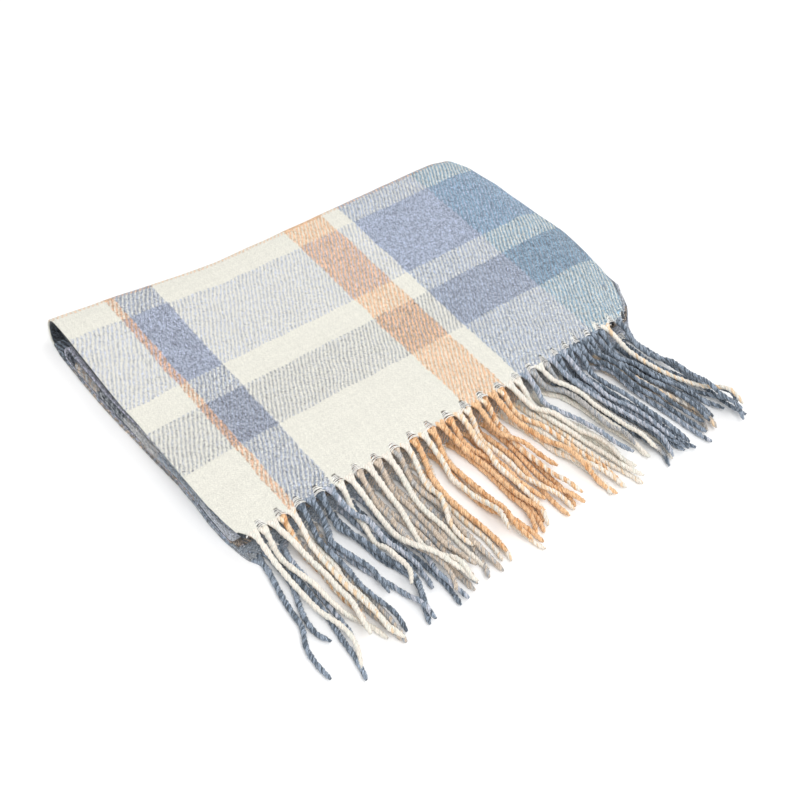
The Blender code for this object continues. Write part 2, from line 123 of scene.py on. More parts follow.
def linear(code: str) -> tuple[float, float, float, float]:
    """Turn an sRGB hex colour into linear RGBA.

    Args:
        code: The colour, such as "#F0EDE1".

    Returns:
        Red, green, blue and alpha, in linear light.
    """
    channels = [int(code[start:start + 2], 16) / 255.0 for start in (1, 3, 5)]
    lit = [c / 12.92 if c <= 0.04045 else ((c + 0.055) / 1.055) ** 2.4 for c in channels]
    return (lit[0], lit[1], lit[2], 1.0)


def smooth(value: Array | float) -> Array | float:
    """Ease from 0 to 1 with level ends."""
    t = np.clip(value, 0.0, 1.0)
    return t * t * (3.0 - 2.0 * t)


def spread(start: float, end: float, steps: int) -> list[float]:
    """Evenly spaced values from start to end, both included."""
    return [start + (end - start) * index / steps for index in range(steps + 1)]


def rows(kind: type, *table: tuple) -> tuple:
    """Make one object of a kind from each row of a table.

    Args:
        kind: The class of the objects.
        table: Their fields. One with a decimal point is in thousandths: millimetres mostly.

    Returns:
        The objects.
    """
    return tuple(kind(*(cell / 1000.0 if isinstance(cell, float) else cell for cell in row))
                 for row in table)


# ---------------------------------------------------------------- how the pad has settled


@dataclass(frozen=True)
class Edge:
    """Where the sides of the pad lie at one depth, at its foot, half way up and on top."""

    depth: float
    left_top: float
    left_foot: float
    right_top: float
    right_half: float
    right_foot: float


@dataclass(frozen=True)
class Swell:
    """A soft rise or dip: its middle, half sizes, height and heading from +x towards +y."""

    across: float
    depth: float
    half_length: float
    half_width: float
    rise: float
    degrees: int = 0

    def at(self, x: Array, y: Array) -> Array:
        """Its height at the given places."""
        turn = np.exp(-1j * math.radians(self.degrees))
        turned = (x - self.across + 1j * (y - self.depth)) * turn
        return self.rise * np.exp(-(turned.real / self.half_length) ** 2
                                  - (turned.imag / self.half_width) ** 2)


EDGES = rows(
    Edge,
    (-12.0, 4.0, 4.6, 314.0, 317.5, 317.5), (0.0, 2.5, 1.2, 315.0, 323.0, 322.5),
    (14.0, -0.5, -1.4, 322.5, 336.5, 334.5), (30.0, -1.8, -2.0, 329.0, 345.5, 339.0),
    (45.0, -1.8, -0.8, 334.5, 343.0, 338.5), (65.0, -1.6, -0.6, 339.0, 339.5, 338.5),
    (90.0, -2.0, -3.0, 341.0, 340.5, 339.5), (126.0, -2.5, -5.2, 337.5, 337.0, 336.5),
    (160.0, -1.2, -6.0, 334.7, 334.0, 333.5), (186.0, -1.0, -6.2, 330.3, 330.0, 329.0),
    (201.0, -1.5, -4.2, 323.5, 323.0, 322.0), (209.0, -1.8, -2.0, 316.5, 316.5, 316.0),
)
EDGE_COLUMNS = np.array([astuple(edge) for edge in EDGES]).T

# The pad's rises and dips, as a share of its height.
RIPPLES = rows(
    Swell,
    (60.0, 60.0, 60.0, 50.0, 40.0), (120.0, 135.0, 55.0, 45.0, -45.0),
    (210.0, 70.0, 70.0, 50.0, -40.0), (250.0, 150.0, 60.0, 50.0, 35.0),
    (35.0, 190.0, 50.0, 35.0, 60.0),
)

# The cloth's own soft troughs and ridges.
CREASES = rows(
    Swell,
    (30.0, 60.0, 55.0, 11.0, 0.50, 78), (52.0, 120.0, 50.0, 9.0, -0.45, 84),
    (92.0, 40.0, 34.0, 8.0, -0.50, 70), (118.0, 28.0, 26.0, 7.0, 0.50, 96),
    (150.0, 22.0, 22.0, 6.0, -0.45, 84), (186.0, 30.0, 34.0, 8.0, 0.45, 74),
    (222.0, 36.0, 40.0, 9.0, -0.50, 98), (262.0, 30.0, 36.0, 10.0, 0.60, 68),
    (300.0, 52.0, 40.0, 11.0, -0.60, 60), (170.0, 196.0, 80.0, 6.0, -0.30, 4),
    (290.0, 150.0, 50.0, 13.0, 0.50, 104), (140.0, 105.0, 60.0, 15.0, -0.35, 20),
)


@dataclass(frozen=True)
class Settling:
    """How the straight block of cloth settles into the hand-folded pad."""

    left_reach: float = 0.045
    right_reach: float = 0.130
    corner_pull: float = 0.0147
    corner_reach: float = 0.118
    corner_from: float = 0.125
    corner_run: float = 0.082
    front_skew: float = 0.0050
    skew_run: float = 0.12
    fold_drop: float = 0.20
    fold_run: float = 0.022
    edge_drop: float = 0.06
    edge_run: float = 0.016
    flat_front: float = 0.004

    def height_factor(self, x: Array, y: Array) -> Array:
        """How far the pad rises or sinks against its nominal height at the given places."""
        roll, droop = 1.0 - smooth((PAD_WIDTH - x) / self.fold_run), 1.0 - smooth(y / self.edge_run)
        return (sum((each.at(x, y) for each in RIPPLES), 1.0)
                - self.fold_drop * roll * roll - self.edge_drop * droop)

    def relief(self, x: Array, y: Array) -> Array:
        """Height of the creases and of the cloth's fine unevenness at the given places."""
        fine = (0.00013 * np.sin(x * 190.0 + 3.0 * np.sin(y * 61.0))
                + 0.00011 * np.sin(y * 233.0 + 2.6 * np.sin(x * 74.0 + 1.0)))
        return ((sum(each.at(x, y) for each in CREASES) + fine)
                * smooth((y + self.flat_front) / self.edge_run))

    def place(self, x: Array, y: Array, z: Array, creased: bool = False) -> Array:
        """Move points of the straight block to where they lie on the table.

        Args:
            x: Places across the block.
            y: Places from front to back.
            z: Heights in the block.
            creased: Whether the cloth's creases are added.

        Returns:
            The points, in the frame of the finished part.
        """
        rise = np.clip(z / PAD_HEIGHT, 0.0, 1.0)
        depths, *columns = EDGE_COLUMNS
        left_top, left_foot, right_top, right_half, right_foot = (
            np.interp(y, depths, column) for column in columns)
        left = left_top + (left_foot - left_top) * (1.0 - rise) * (1.0 + 1.2 * rise)
        belly = right_half - (right_top + right_foot) / 2.0
        right = right_foot + (right_top - right_foot) * rise + belly * 4.0 * rise * (1.0 - rise)
        near_left = 1.0 - smooth(x / self.left_reach)
        near_right = 1.0 - smooth((PAD_WIDTH - x) / self.right_reach)
        corner = (np.clip(1.0 - x / self.corner_reach, 0.0, 1.0) ** 1.15
                  * smooth((y - self.corner_from) / self.corner_run))
        skew = self.front_skew * (x / PAD_WIDTH - 0.4) * (1.0 - smooth(y / self.skew_run))
        height = z * self.height_factor(x, y)
        if creased:
            height = height + self.relief(x, y) * rise
        return np.stack((
            x + left * near_left + (right - PAD_WIDTH) * near_right - MIDDLE[0],
            y + self.corner_pull * corner + skew - MIDDLE[1],
            height,
        ), axis=-1)


SETTLING = Settling()


# ---------------------------------------------------------------- meshes


class MeshParts:
    """Gathers the vertices, faces, texture places and finishes of one piece."""

    def __init__(self) -> None:
        """Start with nothing."""
        self.surfaces: list[tuple[Array, Array, Array, Array]] = []
        self.count = 0

    def add(self, points: Array, quads: Array, places: Array, finish: int | Array = 0) -> None:
        """Add one surface.

        Args:
            points: Its vertices.
            quads: Its faces, four vertex numbers each; a triangle repeats its last one.
            places: For each face corner, its place in the texture.
            finish: Which of the piece's materials it has, or which each face has.
        """
        self.surfaces.append((points, quads + self.count, places,
                              np.broadcast_to(finish, len(quads))))
        self.count += len(points)

    def build(self, name: str, materials: list[bpy.types.Material],
              sharp: float | None = None) -> bpy.types.Object:
        """Make the object.

        Args:
            name: The object's name.
            materials: Its materials, in the order of the finish numbers.
            sharp: Edges bent by more than this angle are drawn sharp, in degrees.

        Returns:
            The new object, linked to the scene.
        """
        points, quads, places, finishes = (np.concatenate(each) for each in zip(*self.surfaces))
        points[:, 2] = np.maximum(points[:, 2], LOWEST)
        triangle = quads[:, 2] == quads[:, 3]
        faces = [quad[:3] if short else quad for quad, short in zip(quads.tolist(), triangle)]
        mesh = bpy.data.meshes.new(name)
        mesh.from_pydata(points.tolist(), [], faces)
        keep = np.ones(quads.shape, dtype=bool)
        keep[triangle, 3] = False
        layer = mesh.uv_layers.new(name="weave")
        layer.data.foreach_set("uv", places[keep].astype(np.float32).ravel())
        for material in materials:
            mesh.materials.append(material)
        mesh.polygons.foreach_set("material_index", finishes.astype(np.int32))
        mesh.polygons.foreach_set("use_smooth", np.ones(len(quads), dtype=bool))
        if sharp is not None:
            mesh.set_sharp_from_angle(angle=math.radians(sharp))
        mesh.update()
        thing = bpy.data.objects.new(name, mesh)
        bpy.context.scene.collection.objects.link(thing)
        return thing


def sweep_quads(rings: int, sides: int) -> Array:
    """Faces of a closed sweep.

    Args:
        rings: How many rings it has.
        sides: How many vertices are in a ring.

    Returns:
        Four vertex numbers for each face, ring by ring.
    """
    ring, side = np.arange(rings - 1)[:, None] * sides, np.arange(sides)[None, :]
    after = (side + 1) % sides
    corners = (ring + side, ring + after, ring + sides + after, ring + sides + side)
    return np.stack(corners, axis=-1).reshape(-1, 4)


def end_quads(upper: Array, lower: Array, order: int) -> Array:
    """Faces that close one end of a sweep, between two lines of its vertices.

    Args:
        upper: Vertex numbers along one line.
        lower: The vertex opposite each, along the other line.
        order: 1 at the first ring and -1 at the last, so that the faces look outwards.

    Returns:
        Four vertex numbers for each face; a triangle repeats its last one.
    """
    strip = np.stack((upper[:-1], lower[:-1], lower[1:], upper[1:]), axis=-1)[:, ::order]
    for corner in range(4):
        same = strip[:, corner] == strip[:, (corner + 1) % 4]
        strip[same] = np.roll(strip[same], 2 - corner, axis=1)
    return strip


def tube(centres: Array, sides: Array, ups: Array, across: Array, tall: Array, corners: int,
         along: Array) -> tuple[Array, Array, Array]:
    """A tube of elliptical sections, closed at both ends.

    Args:
        centres: The middle of each section.
        sides: A unit vector across each section.
        ups: A unit vector up each section.
        across: Half the width of each section.
        tall: Half the height of each section.
        corners: How many vertices are in a section.
        along: How far along the tube each section lies, for the texture.

    Returns:
        Its vertices, faces and texture places.
    """
    turn = np.arange(corners) * 2.0 * math.pi / corners
    points = (centres[:, None, :]
              + (across[:, None] * np.cos(turn))[:, :, None] * sides[:, None, :]
              + (tall[:, None] * np.sin(turn))[:, :, None] * ups[:, None, :]).reshape(-1, 3)
    rings = len(centres)
    start = np.tile(np.arange(corners) / corners, rings - 1)
    end = start + 1.0 / corners
    low, high = np.repeat(along[:-1], corners), np.repeat(along[1:], corners)
    places = np.stack([np.stack(pair, axis=-1) for pair in
                       ((start, low), (end, low), (end, high), (start, high))], axis=1)
    fan = np.array([(0, corner, corner + 1, corner + 1) for corner in range(1, corners - 1)])
    caps = np.concatenate((fan[:, [0, 2, 1, 1]], fan + (rings - 1) * corners))
    cap_places = np.zeros((len(caps), 4, 2))
    cap_places[:, :, 1] = along[-1]
    return (points, np.concatenate((sweep_quads(rings, corners), caps)),
            np.concatenate((places, cap_places)))


# ---------------------------------------------------------------- finishes

# Which property a node's option sets.
OPTIONS = {
    "Math": "operation", "VectorMath": "operation", "Mix": "data_type", "UVMap": "uv_map",
    "TexNoise": "noise_dimensions", "TexWhiteNoise": "noise_dimensions",
}


def add_node(tree: bpy.types.NodeTree, kind: str, option: str, inputs: dict) -> bpy.types.Node:
    """Add one node with its settings and links.

    Args:
        tree: The node tree that it goes into.
        kind: The node's type, without the "ShaderNode" that all of them begin with.
        option: The value of the property that OPTIONS names for it, or nothing.
        inputs: For each input, a socket to link it to or a value to give it.

    Returns:
        The new node.
    """
    node = tree.nodes.new("ShaderNode" + kind)
    if option:
        setattr(node, OPTIONS[kind], option)
    in_use = [socket for socket in node.inputs if socket.enabled]
    for key, value in inputs.items():
        socket = in_use[key] if isinstance(key, int) else node.inputs[key]
        if isinstance(value, bpy.types.NodeSocket):
            tree.links.new(value, socket)
        else:
            socket.default_value = value
    return node


def grow(tree: bpy.types.NodeTree, table: list[tuple]) -> dict[str, bpy.types.NodeSocket]:
    """Add the nodes of a table in turn.

    Args:
        tree: The node tree that they go into.
        table: For each node its name, its type and option with a point between them, or only
            the operation of a Math node, and its inputs, in order or in a dictionary. A text
            there names the node that the input is linked to.

    Returns:
        Each node's first output by its name, and output n as "name.n".
    """
    known = {}
    for name, label, *terms in table:
        kind, _, option = label.rpartition(".")
        given = terms[0] if terms and isinstance(terms[0], dict) else dict(enumerate(terms))
        inputs = {key: known[value] if isinstance(value, str) else value
                  for key, value in given.items()}
        outputs = [each for each in add_node(tree, kind or "Math", option, inputs).outputs
                   if each.enabled]
        known.update({f"{name}.{number}": each for number, each in enumerate(outputs)})
        known.update({name: each for each in outputs[:1]})
    return known


def new_material(name: str, table: list[tuple]) -> tuple[bpy.types.Material, dict]:
    """Make a node material.

    Args:
        name: The material's name.
        table: Its nodes, of which the last is its shader.

    Returns:
        The material and the outputs of its nodes.
    """
    material = bpy.data.materials.new(name)
    material.use_nodes = True
    material.node_tree.nodes.clear()
    return material, grow(material.node_tree, table + [("surface", "OutputMaterial.", "shader")])


@dataclass(frozen=True)
class Band:
    """One stripe of the plaid: where it ends, and its yarn."""

    until: float
    yarn: Yarn


# The plaid, across the scarf from one selvedge to the other. Its narrow first peach stripe is CLAY,
# darker than the other peach, partly as painted shade for a ridge along it.
FACE_WARP = rows(
    Band, (33.6, Yarn.CREAM), (40.3, Yarn.CLAY), (66.8, Yarn.DENIM), (171.1, Yarn.CREAM),
    (203.3, Yarn.PEACH), (216.0, Yarn.CREAM), (285.0, Yarn.INDIGO), (405.0, Yarn.AZURE),
    (474.0, Yarn.INDIGO), (486.7, Yarn.CREAM), (518.9, Yarn.PEACH), (623.2, Yarn.CREAM),
    (650.0, Yarn.DENIM), (690.0, Yarn.CHARCOAL),
)

# And along it, from the fringed edge at the top round the back fold.
FACE_WEFT = rows(
    Band, (55.4, Yarn.CREAM), (95.1, Yarn.SLATE), (118.2, Yarn.CREAM), (181.4, Yarn.MIST),
    (199.0, Yarn.CREAM), (207.0, Yarn.PEACH), (236.0, Yarn.CREAM), (299.0, Yarn.MIST),
    (322.0, Yarn.CREAM), (362.0, Yarn.SLATE), (460.0, Yarn.CREAM),
)

# The turned-in ply lies in the shade of the fold. Its coal, charcoal and umber are painted shade,
# darker than the plaid it carries: for the tunnel of the fold and the notches at the front edge.
TURNED_WARP = rows(
    Band, (360.0, Yarn.CHARCOAL), (474.0, Yarn.CHARCOAL), (485.0, Yarn.STONE),
    (565.0, Yarn.UMBER), (620.0, Yarn.STONE), (678.0, Yarn.CHARCOAL), (690.0, Yarn.ASH),
)
TURNED_WEFT = rows(
    Band, (10.0, Yarn.COAL), (45.0, Yarn.STEEL), (95.1, Yarn.ASH), (130.0, Yarn.IRON),
    (270.0, Yarn.COAL), (315.0, Yarn.SAND), (362.0, Yarn.CHARCOAL), (410.0, Yarn.ASH),
    (460.0, Yarn.STEEL),
)

# The scarf's other end, which lies underneath and shows at the front and the sides. Its grey warp
# stretches stand for pale cloth in shade between the cords, and its coal weft next to the back fold
# is painted shade for the tunnel.
LOWER_WARP = rows(
    Band, (12.0, Yarn.ASH), (70.0, Yarn.STEEL), (125.0, Yarn.GREY), (165.0, Yarn.PEACH),
    (200.0, Yarn.TAUPE), (225.0, Yarn.GREY), (390.0, Yarn.DENIM), (424.0, Yarn.GREY),
    (502.0, Yarn.PEACH), (552.0, Yarn.TAUPE), (690.0, Yarn.STEEL),
)
LOWER_WEFT = rows(
    Band, (245.0, Yarn.COAL), (262.0, Yarn.STONE), (330.0, Yarn.SAND), (362.0, Yarn.STONE),
    (405.0, Yarn.ASH), (415.0, Yarn.STEEL), (460.0, Yarn.ASH),
)

# The second cloth: a pale selvedge over dark squares, which are partly painted shade for the gaps
# at the front and along the open side.
SECOND_WARP = rows(
    Band, (3.0, Yarn.LAVENDER), (68.0, Yarn.IRON), (95.0, Yarn.STONE), (138.0, Yarn.TAUPE),
    (215.0, Yarn.APRICOT), (255.0, Yarn.GREY), (400.0, Yarn.CHARCOAL), (438.0, Yarn.GREY),
    (512.0, Yarn.APRICOT), (558.0, Yarn.TAUPE), (585.0, Yarn.STONE), (690.0, Yarn.CHARCOAL),
)
SECOND_WEFT = rows(
    Band, (60.0, Yarn.STEEL), (100.0, Yarn.ASH), (260.0, Yarn.SLATE), (320.0, Yarn.SAND),
    (354.0, Yarn.STEEL), (460.0, Yarn.SAND),
)

# The deeper layers, seen along the open left side from the front to the back.
SIDE_WARP = rows(Band, (500.0, Yarn.ASH), (1000.0, Yarn.ASH))
SIDE_WEFT = rows(
    Band, (40.0, Yarn.HEATHER), (85.0, Yarn.STEEL), (122.0, Yarn.GREY), (148.0, Yarn.CHARCOAL),
    (174.0, Yarn.SAND), (220.0, Yarn.IRON),
)


@dataclass(frozen=True)
class BrushedAcrylicTwill:
    """Soft 2/2 twill of dyed acrylic yarn, brushed on both sides.

    The eye sees slanting wales of round floats, greyed by a short nap that gives a pale sheen
    at grazing angles. Pitches are real: 14 warp yarns and 7.5 thicker weft yarns to 10 mm.
    Brushing closes the warp over the ends of the weft's floats.
    """

    name: str
    warp: tuple[Band, ...] = FACE_WARP
    weft: tuple[Band, ...] = FACE_WEFT
    closing: float = 1.25
    warp_pitch: float = 0.000728
    weft_pitch: float = 0.00133
    wobble: float = 0.0030
    fray: float = 0.0030
    nap: float = 0.06
    shade: float = 0.16
    speck: float = 6.5
    dive: float = 1.20
    mottle: float = 1.80
    relief: float = 0.00028

    def paint(self, ramp: bpy.types.ColorRamp, bands: tuple[Band, ...]) -> None:
        """Put a set of stripes on a colour ramp.

        Args:
            ramp: The ramp, with its first two stops.
            bands: The stripes.
        """
        ramp.interpolation = "CONSTANT"
        ramp.elements[0].color = linear(bands[0].yarn.value)
        ramp.elements[1].position = bands[0].until / bands[-1].until
        ramp.elements[1].color = linear(bands[1].yarn.value)
        for before, band in zip(bands[1:], bands[2:]):
            stop = ramp.elements.new(before.until / bands[-1].until)
            stop.color = linear(band.yarn.value)

    def floats(self) -> list[tuple]:
        """The nodes that work out how the yarns cross.

        Each yarn passes over two and under two, one further on in each row. Its floats are
        round: high along the middle, low where they dive under.

        Returns:
            Rows for grow().
        """
        table = [("place", "UVMap.weave")]
        for scale, reach, moved in ((55.0, self.wobble, "place"), (1300.0, self.fray, "moved")):
            table += [
                ("noise", "TexNoise.2D", {"Vector": "place", "Scale": scale, "Detail": 3.0}),
                ("offset", "VectorMath.SUBTRACT", "noise.1", (0.5,) * 3),
                ("moved", "VectorMath.MULTIPLY_ADD", "offset", (reach,) * 3, moved),
            ]
        table.append(("way", "SeparateXYZ.", "moved"))
        for yarn, way, pitch, bands in (("warp", "way.0", self.warp_pitch, self.warp),
                                        ("weft", "way.1", self.weft_pitch, self.weft)):
            table += [
                (yarn + "_run", "DIVIDE", way, pitch),
                (yarn + "_yarn", "FLOOR", yarn + "_run"),
                (yarn + "_part", "FRACT", yarn + "_run"),
                (yarn + "_side", "SUBTRACT", yarn + "_part", 0.5),
                (yarn + "_square", "MULTIPLY", yarn + "_side", yarn + "_side"),
                (yarn + "_round", "MULTIPLY_ADD", yarn + "_square", -3.6, 1.0),
                (yarn + "_middle", "ADD", yarn + "_yarn", 0.5),
                (yarn + "_place", "MULTIPLY", yarn + "_middle", pitch),
                (yarn + "_share", "DIVIDE", yarn + "_place", bands[-1].until),
                (yarn + "_colour", "ValToRGB.", yarn + "_share"),
            ]
        table += [
            ("stair", "SUBTRACT", "warp_yarn", "weft_yarn"),
            ("step", "FLOORED_MODULO", "stair", 4.0),
            ("warp_up", "LESS_THAN", "step", 1.5),
            ("weft_start", "ADD", "weft_yarn", 3.0),
            ("warp_past", "SUBTRACT", "warp_yarn", "weft_run"),
            ("weft_past", "SUBTRACT", "warp_run", "weft_start"),
        ]
        for yarn in ("warp", "weft"):
            table += [
                (yarn + "_along", "WRAP", yarn + "_past", 2.0, -2.0),
                (yarn + "_fall", "MULTIPLY", yarn + "_along", yarn + "_along"),
                (yarn + "_dive", "MULTIPLY_ADD", yarn + "_fall", -0.7, 1.0),
                (yarn + "_crown", "MULTIPLY", yarn + "_round", yarn + "_dive"),
            ]
        return table

    def material(self) -> bpy.types.Material:
        """Build the weave.

        Returns:
            The finished material.
        """
        material, known = new_material(self.name, self.floats() + [
            # No two yarns are quite alike.
            ("weft_key", "ADD", "weft_yarn", 1000.5),
            ("warp_luck", "TexWhiteNoise.1D", {"W": "warp_yarn"}),
            ("weft_luck", "TexWhiteNoise.1D", {"W": "weft_key"}),
            ("crossing", "CombineXYZ.", "warp_yarn", "weft_key"),
            ("float_luck", "TexWhiteNoise.2D", {"Vector": "crossing"}),
            ("crown", "Mix.FLOAT", "warp_up", "weft_crown", "warp_crown"),
            ("luck", "Mix.FLOAT", "warp_up", "weft_luck", "warp_luck"),
            ("patch", "TexNoise.2D",
             {"Vector": "place", "Scale": 260.0, "Detail": 4.0, "Roughness": 0.65}),
            ("fibre", "TexNoise.2D", {"Vector": "place", "Scale": 1500.0, "Detail": 2.0}),
            # Painted shade: the weave is darker, by up to the share shade, where the floats dive
            # under.
            ("depth", "MULTIPLY_ADD", "crown", self.shade, 1.0 - self.shade),
            ("yarn_light", "MULTIPLY_ADD", "luck", 0.07, 0.965),
            ("fibre_light", "MULTIPLY_ADD", "fibre", 0.16, 0.92),
            ("both_light", "MULTIPLY", "depth", "yarn_light"),
            ("light", "MULTIPLY", "both_light", "fibre_light"),
            # The warp closes over the ends of the weft's floats, and the nap hides part of
            # the weave.
            ("low", "SUBTRACT", 1.0, "crown"),
            ("lowest", "MULTIPLY", "low", "low"),
            ("closing", "MULTIPLY_ADD", "warp_up", -self.closing, self.closing),
            ("closed", "MULTIPLY", "lowest", "closing"),
            ("nap", "MULTIPLY", "patch", 2.0 * self.nap),
            ("over", "Mix.RGBA", "warp_up", "weft_colour", "warp_colour"),
            ("under", "Mix.RGBA", "warp_up", "warp_colour", "weft_colour"),
            ("both", "Mix.RGBA", 0.5, "weft_colour", "warp_colour"),
            ("woven", "Mix.RGBA", "closed", "over", "under"),
            ("face", "Mix.RGBA", "nap", "woven", "both"),
            # Painted shade and light, strongest on dark yarn: darker between its fibres and where
            # its floats dive under, lighter on their crowns; pale yarn is lit through. The floats
            # also differ a little at random.
            ("tone", "RGBToBW.", "face"),
            ("darkness", "SUBTRACT", 0.85, "tone"),
            ("grain", "MULTIPLY_ADD", "fibre", self.speck, -0.5 * self.speck),
            ("crowned", "MULTIPLY_ADD", "crown", self.dive, -0.5 * self.dive),
            ("mottle", "MULTIPLY_ADD", "float_luck", self.mottle, -0.5 * self.mottle),
            ("fine", "ADD", "grain", "crowned"),
            ("uneven", "ADD", "fine", "mottle"),
            ("uneven_light", "MULTIPLY_ADD", "uneven", "darkness", 1.0),
            ("all_light", "MULTIPLY", "light", "uneven_light"),
            ("colour", "VectorMath.SCALE", {0: "face", "Scale": "all_light"}),
            ("lift", "MULTIPLY_ADD", "fibre", 0.5, "crown"),
            ("bump", "Bump.", {"Strength": 0.55, "Distance": self.relief, "Height": "lift"}),
            ("shader", "BsdfPrincipled.", {
                "Base Color": "colour", "Normal": "bump", "Roughness": 0.88, "IOR": 1.49,
                "Specular IOR Level": 0.25, "Sheen Weight": 0.22, "Sheen Roughness": 0.55}),
        ])
        self.paint(known["warp_colour"].node.color_ramp, self.warp)
        self.paint(known["weft_colour"].node.color_ramp, self.weft)
        return material


@dataclass(frozen=True)
class PliedAcrylicYarn:
    """Soft acrylic yarn, several singles laid side by side in each ply of a tassel's cord.

    The eye sees slanting ridges, a fibrous matt surface and singles of two close shades.
    """

    name: str
    main: Yarn
    other: Yarn
    other_share: float = 0.3
    singles: int = 5
    lay: float = 0.0090
    streak: float = 0.0110
    # How strongly the fibres' painted shade and light show on dark yarn.
    fleck: float = 6.0

    def material(self) -> bpy.types.Material:
        """Build the yarn.

        Returns:
            The finished material.
        """
        return new_material(self.name, [
            ("place", "UVMap.weave"),
            ("way", "SeparateXYZ.", "place"),
            ("slant", "DIVIDE", "way.1", self.lay),
            ("turned", "SUBTRACT", "way.0", "slant"),
            ("singles", "MULTIPLY", "turned", float(self.singles)),
            ("number", "FLOOR", "singles"),
            ("single", "FLOORED_MODULO", "number", float(self.singles)),
            ("stretches", "DIVIDE", "way.1", self.streak),
            ("stretch", "FLOOR", "stretches"),
            ("part", "FRACT", "singles"),
            ("half_turn", "MULTIPLY", "part", math.pi),
            ("ridge", "SINE", "half_turn"),
            ("fibre_across", "MULTIPLY", "singles", 3.0),
            ("fibre_along", "MULTIPLY", "way.1", 520.0),
            ("threads", "CombineXYZ.", "fibre_across", "fibre_along"),
            ("fibre", "TexNoise.2D",
             {"Vector": "threads", "Scale": 1.0, "Detail": 3.0, "Roughness": 0.7}),
            ("key", "CombineXYZ.", "single", "stretch"),
            ("luck", "TexWhiteNoise.2D", {"Vector": "key"}),
            ("pick", "LESS_THAN", "luck", self.other_share),
            ("mixed", "Mix.RGBA", "pick", linear(self.main.value), linear(self.other.value)),
            ("tone", "RGBToBW.", "mixed"),
            ("darkness", "SUBTRACT", 1.0, "tone"),
            # Painted shade and light: the fibres are darker and lighter at random, more so on dark
            # yarn, and the grooves between the singles are darker.
            ("fleck", "MULTIPLY_ADD", "fibre", self.fleck, -0.5 * self.fleck),
            ("fibre_light", "MULTIPLY_ADD", "fleck", "darkness", 1.0),
            ("ridge_light", "MULTIPLY_ADD", "ridge", 0.12, 0.90),
            ("light", "MULTIPLY", "ridge_light", "fibre_light"),
            ("colour", "VectorMath.SCALE", {0: "mixed", "Scale": "light"}),
            ("lift", "MULTIPLY_ADD", "fibre", 0.5, "ridge"),
            ("bump", "Bump.", {"Strength": 0.7, "Distance": 0.0003, "Height": "lift"}),
            ("shader", "BsdfPrincipled.", {
                "Base Color": "colour", "Normal": "bump", "Roughness": 0.85, "IOR": 1.49,
                "Specular IOR Level": 0.3, "Sheen Weight": 0.35, "Sheen Roughness": 0.5}),
        ])[0]


@dataclass(frozen=True)
class MattPaper:
    """Seamless matt white paper, which gives a clean ground with soft contact shadows."""

    name: str = "matt_white_paper"
    colour: str = "#FAFAFA"

    def material(self) -> bpy.types.Material:
        """Build the paper."""
        return new_material(self.name, [("shader", "BsdfPrincipled.", {
            "Base Color": linear(self.colour), "Roughness": 1.0, "Specular IOR Level": 0.0})])[0]


# ---------------------------------------------------------------- folded cloth


@dataclass(frozen=True)
class PathPlace:
    """One place on a folded cloth's path, on its outer face, in the straight block."""

    depth: float
    height: float
    out_depth: float
    out_height: float
    from_upper_edge: float
    from_lower_edge: float


def bare_gap(x: Array, stagger: float) -> Array:
    """How far the bare gaps between the tassels' roots reach into the cloth.

    Args:
        x: Places along the fringed edge.
        stagger: How far the tassels are shifted, in pitches.

    Returns:
        The reach at each place: 0 at the roots and about 5 mm in the middle of a gap.
    """
    number = np.round(x / TASSEL_PITCH - stagger)
    off_middle = np.abs(x - (number + stagger) * TASSEL_PITCH)
    luck = 0.85 + 0.3 * np.abs(np.sin(number * 12.9898 + stagger * 7.0))
    return BARE_DEPTH * luck * np.clip((BARE_HALF_GAP - off_middle) / BARE_SHOULDER, 0.0, 1.0)


def sunk(sag: float, depth: float) -> float:
    """How far a cloth has sunk away from the one above it at one depth."""
    return sag * float(smooth((depth - 0.070) / 0.100))


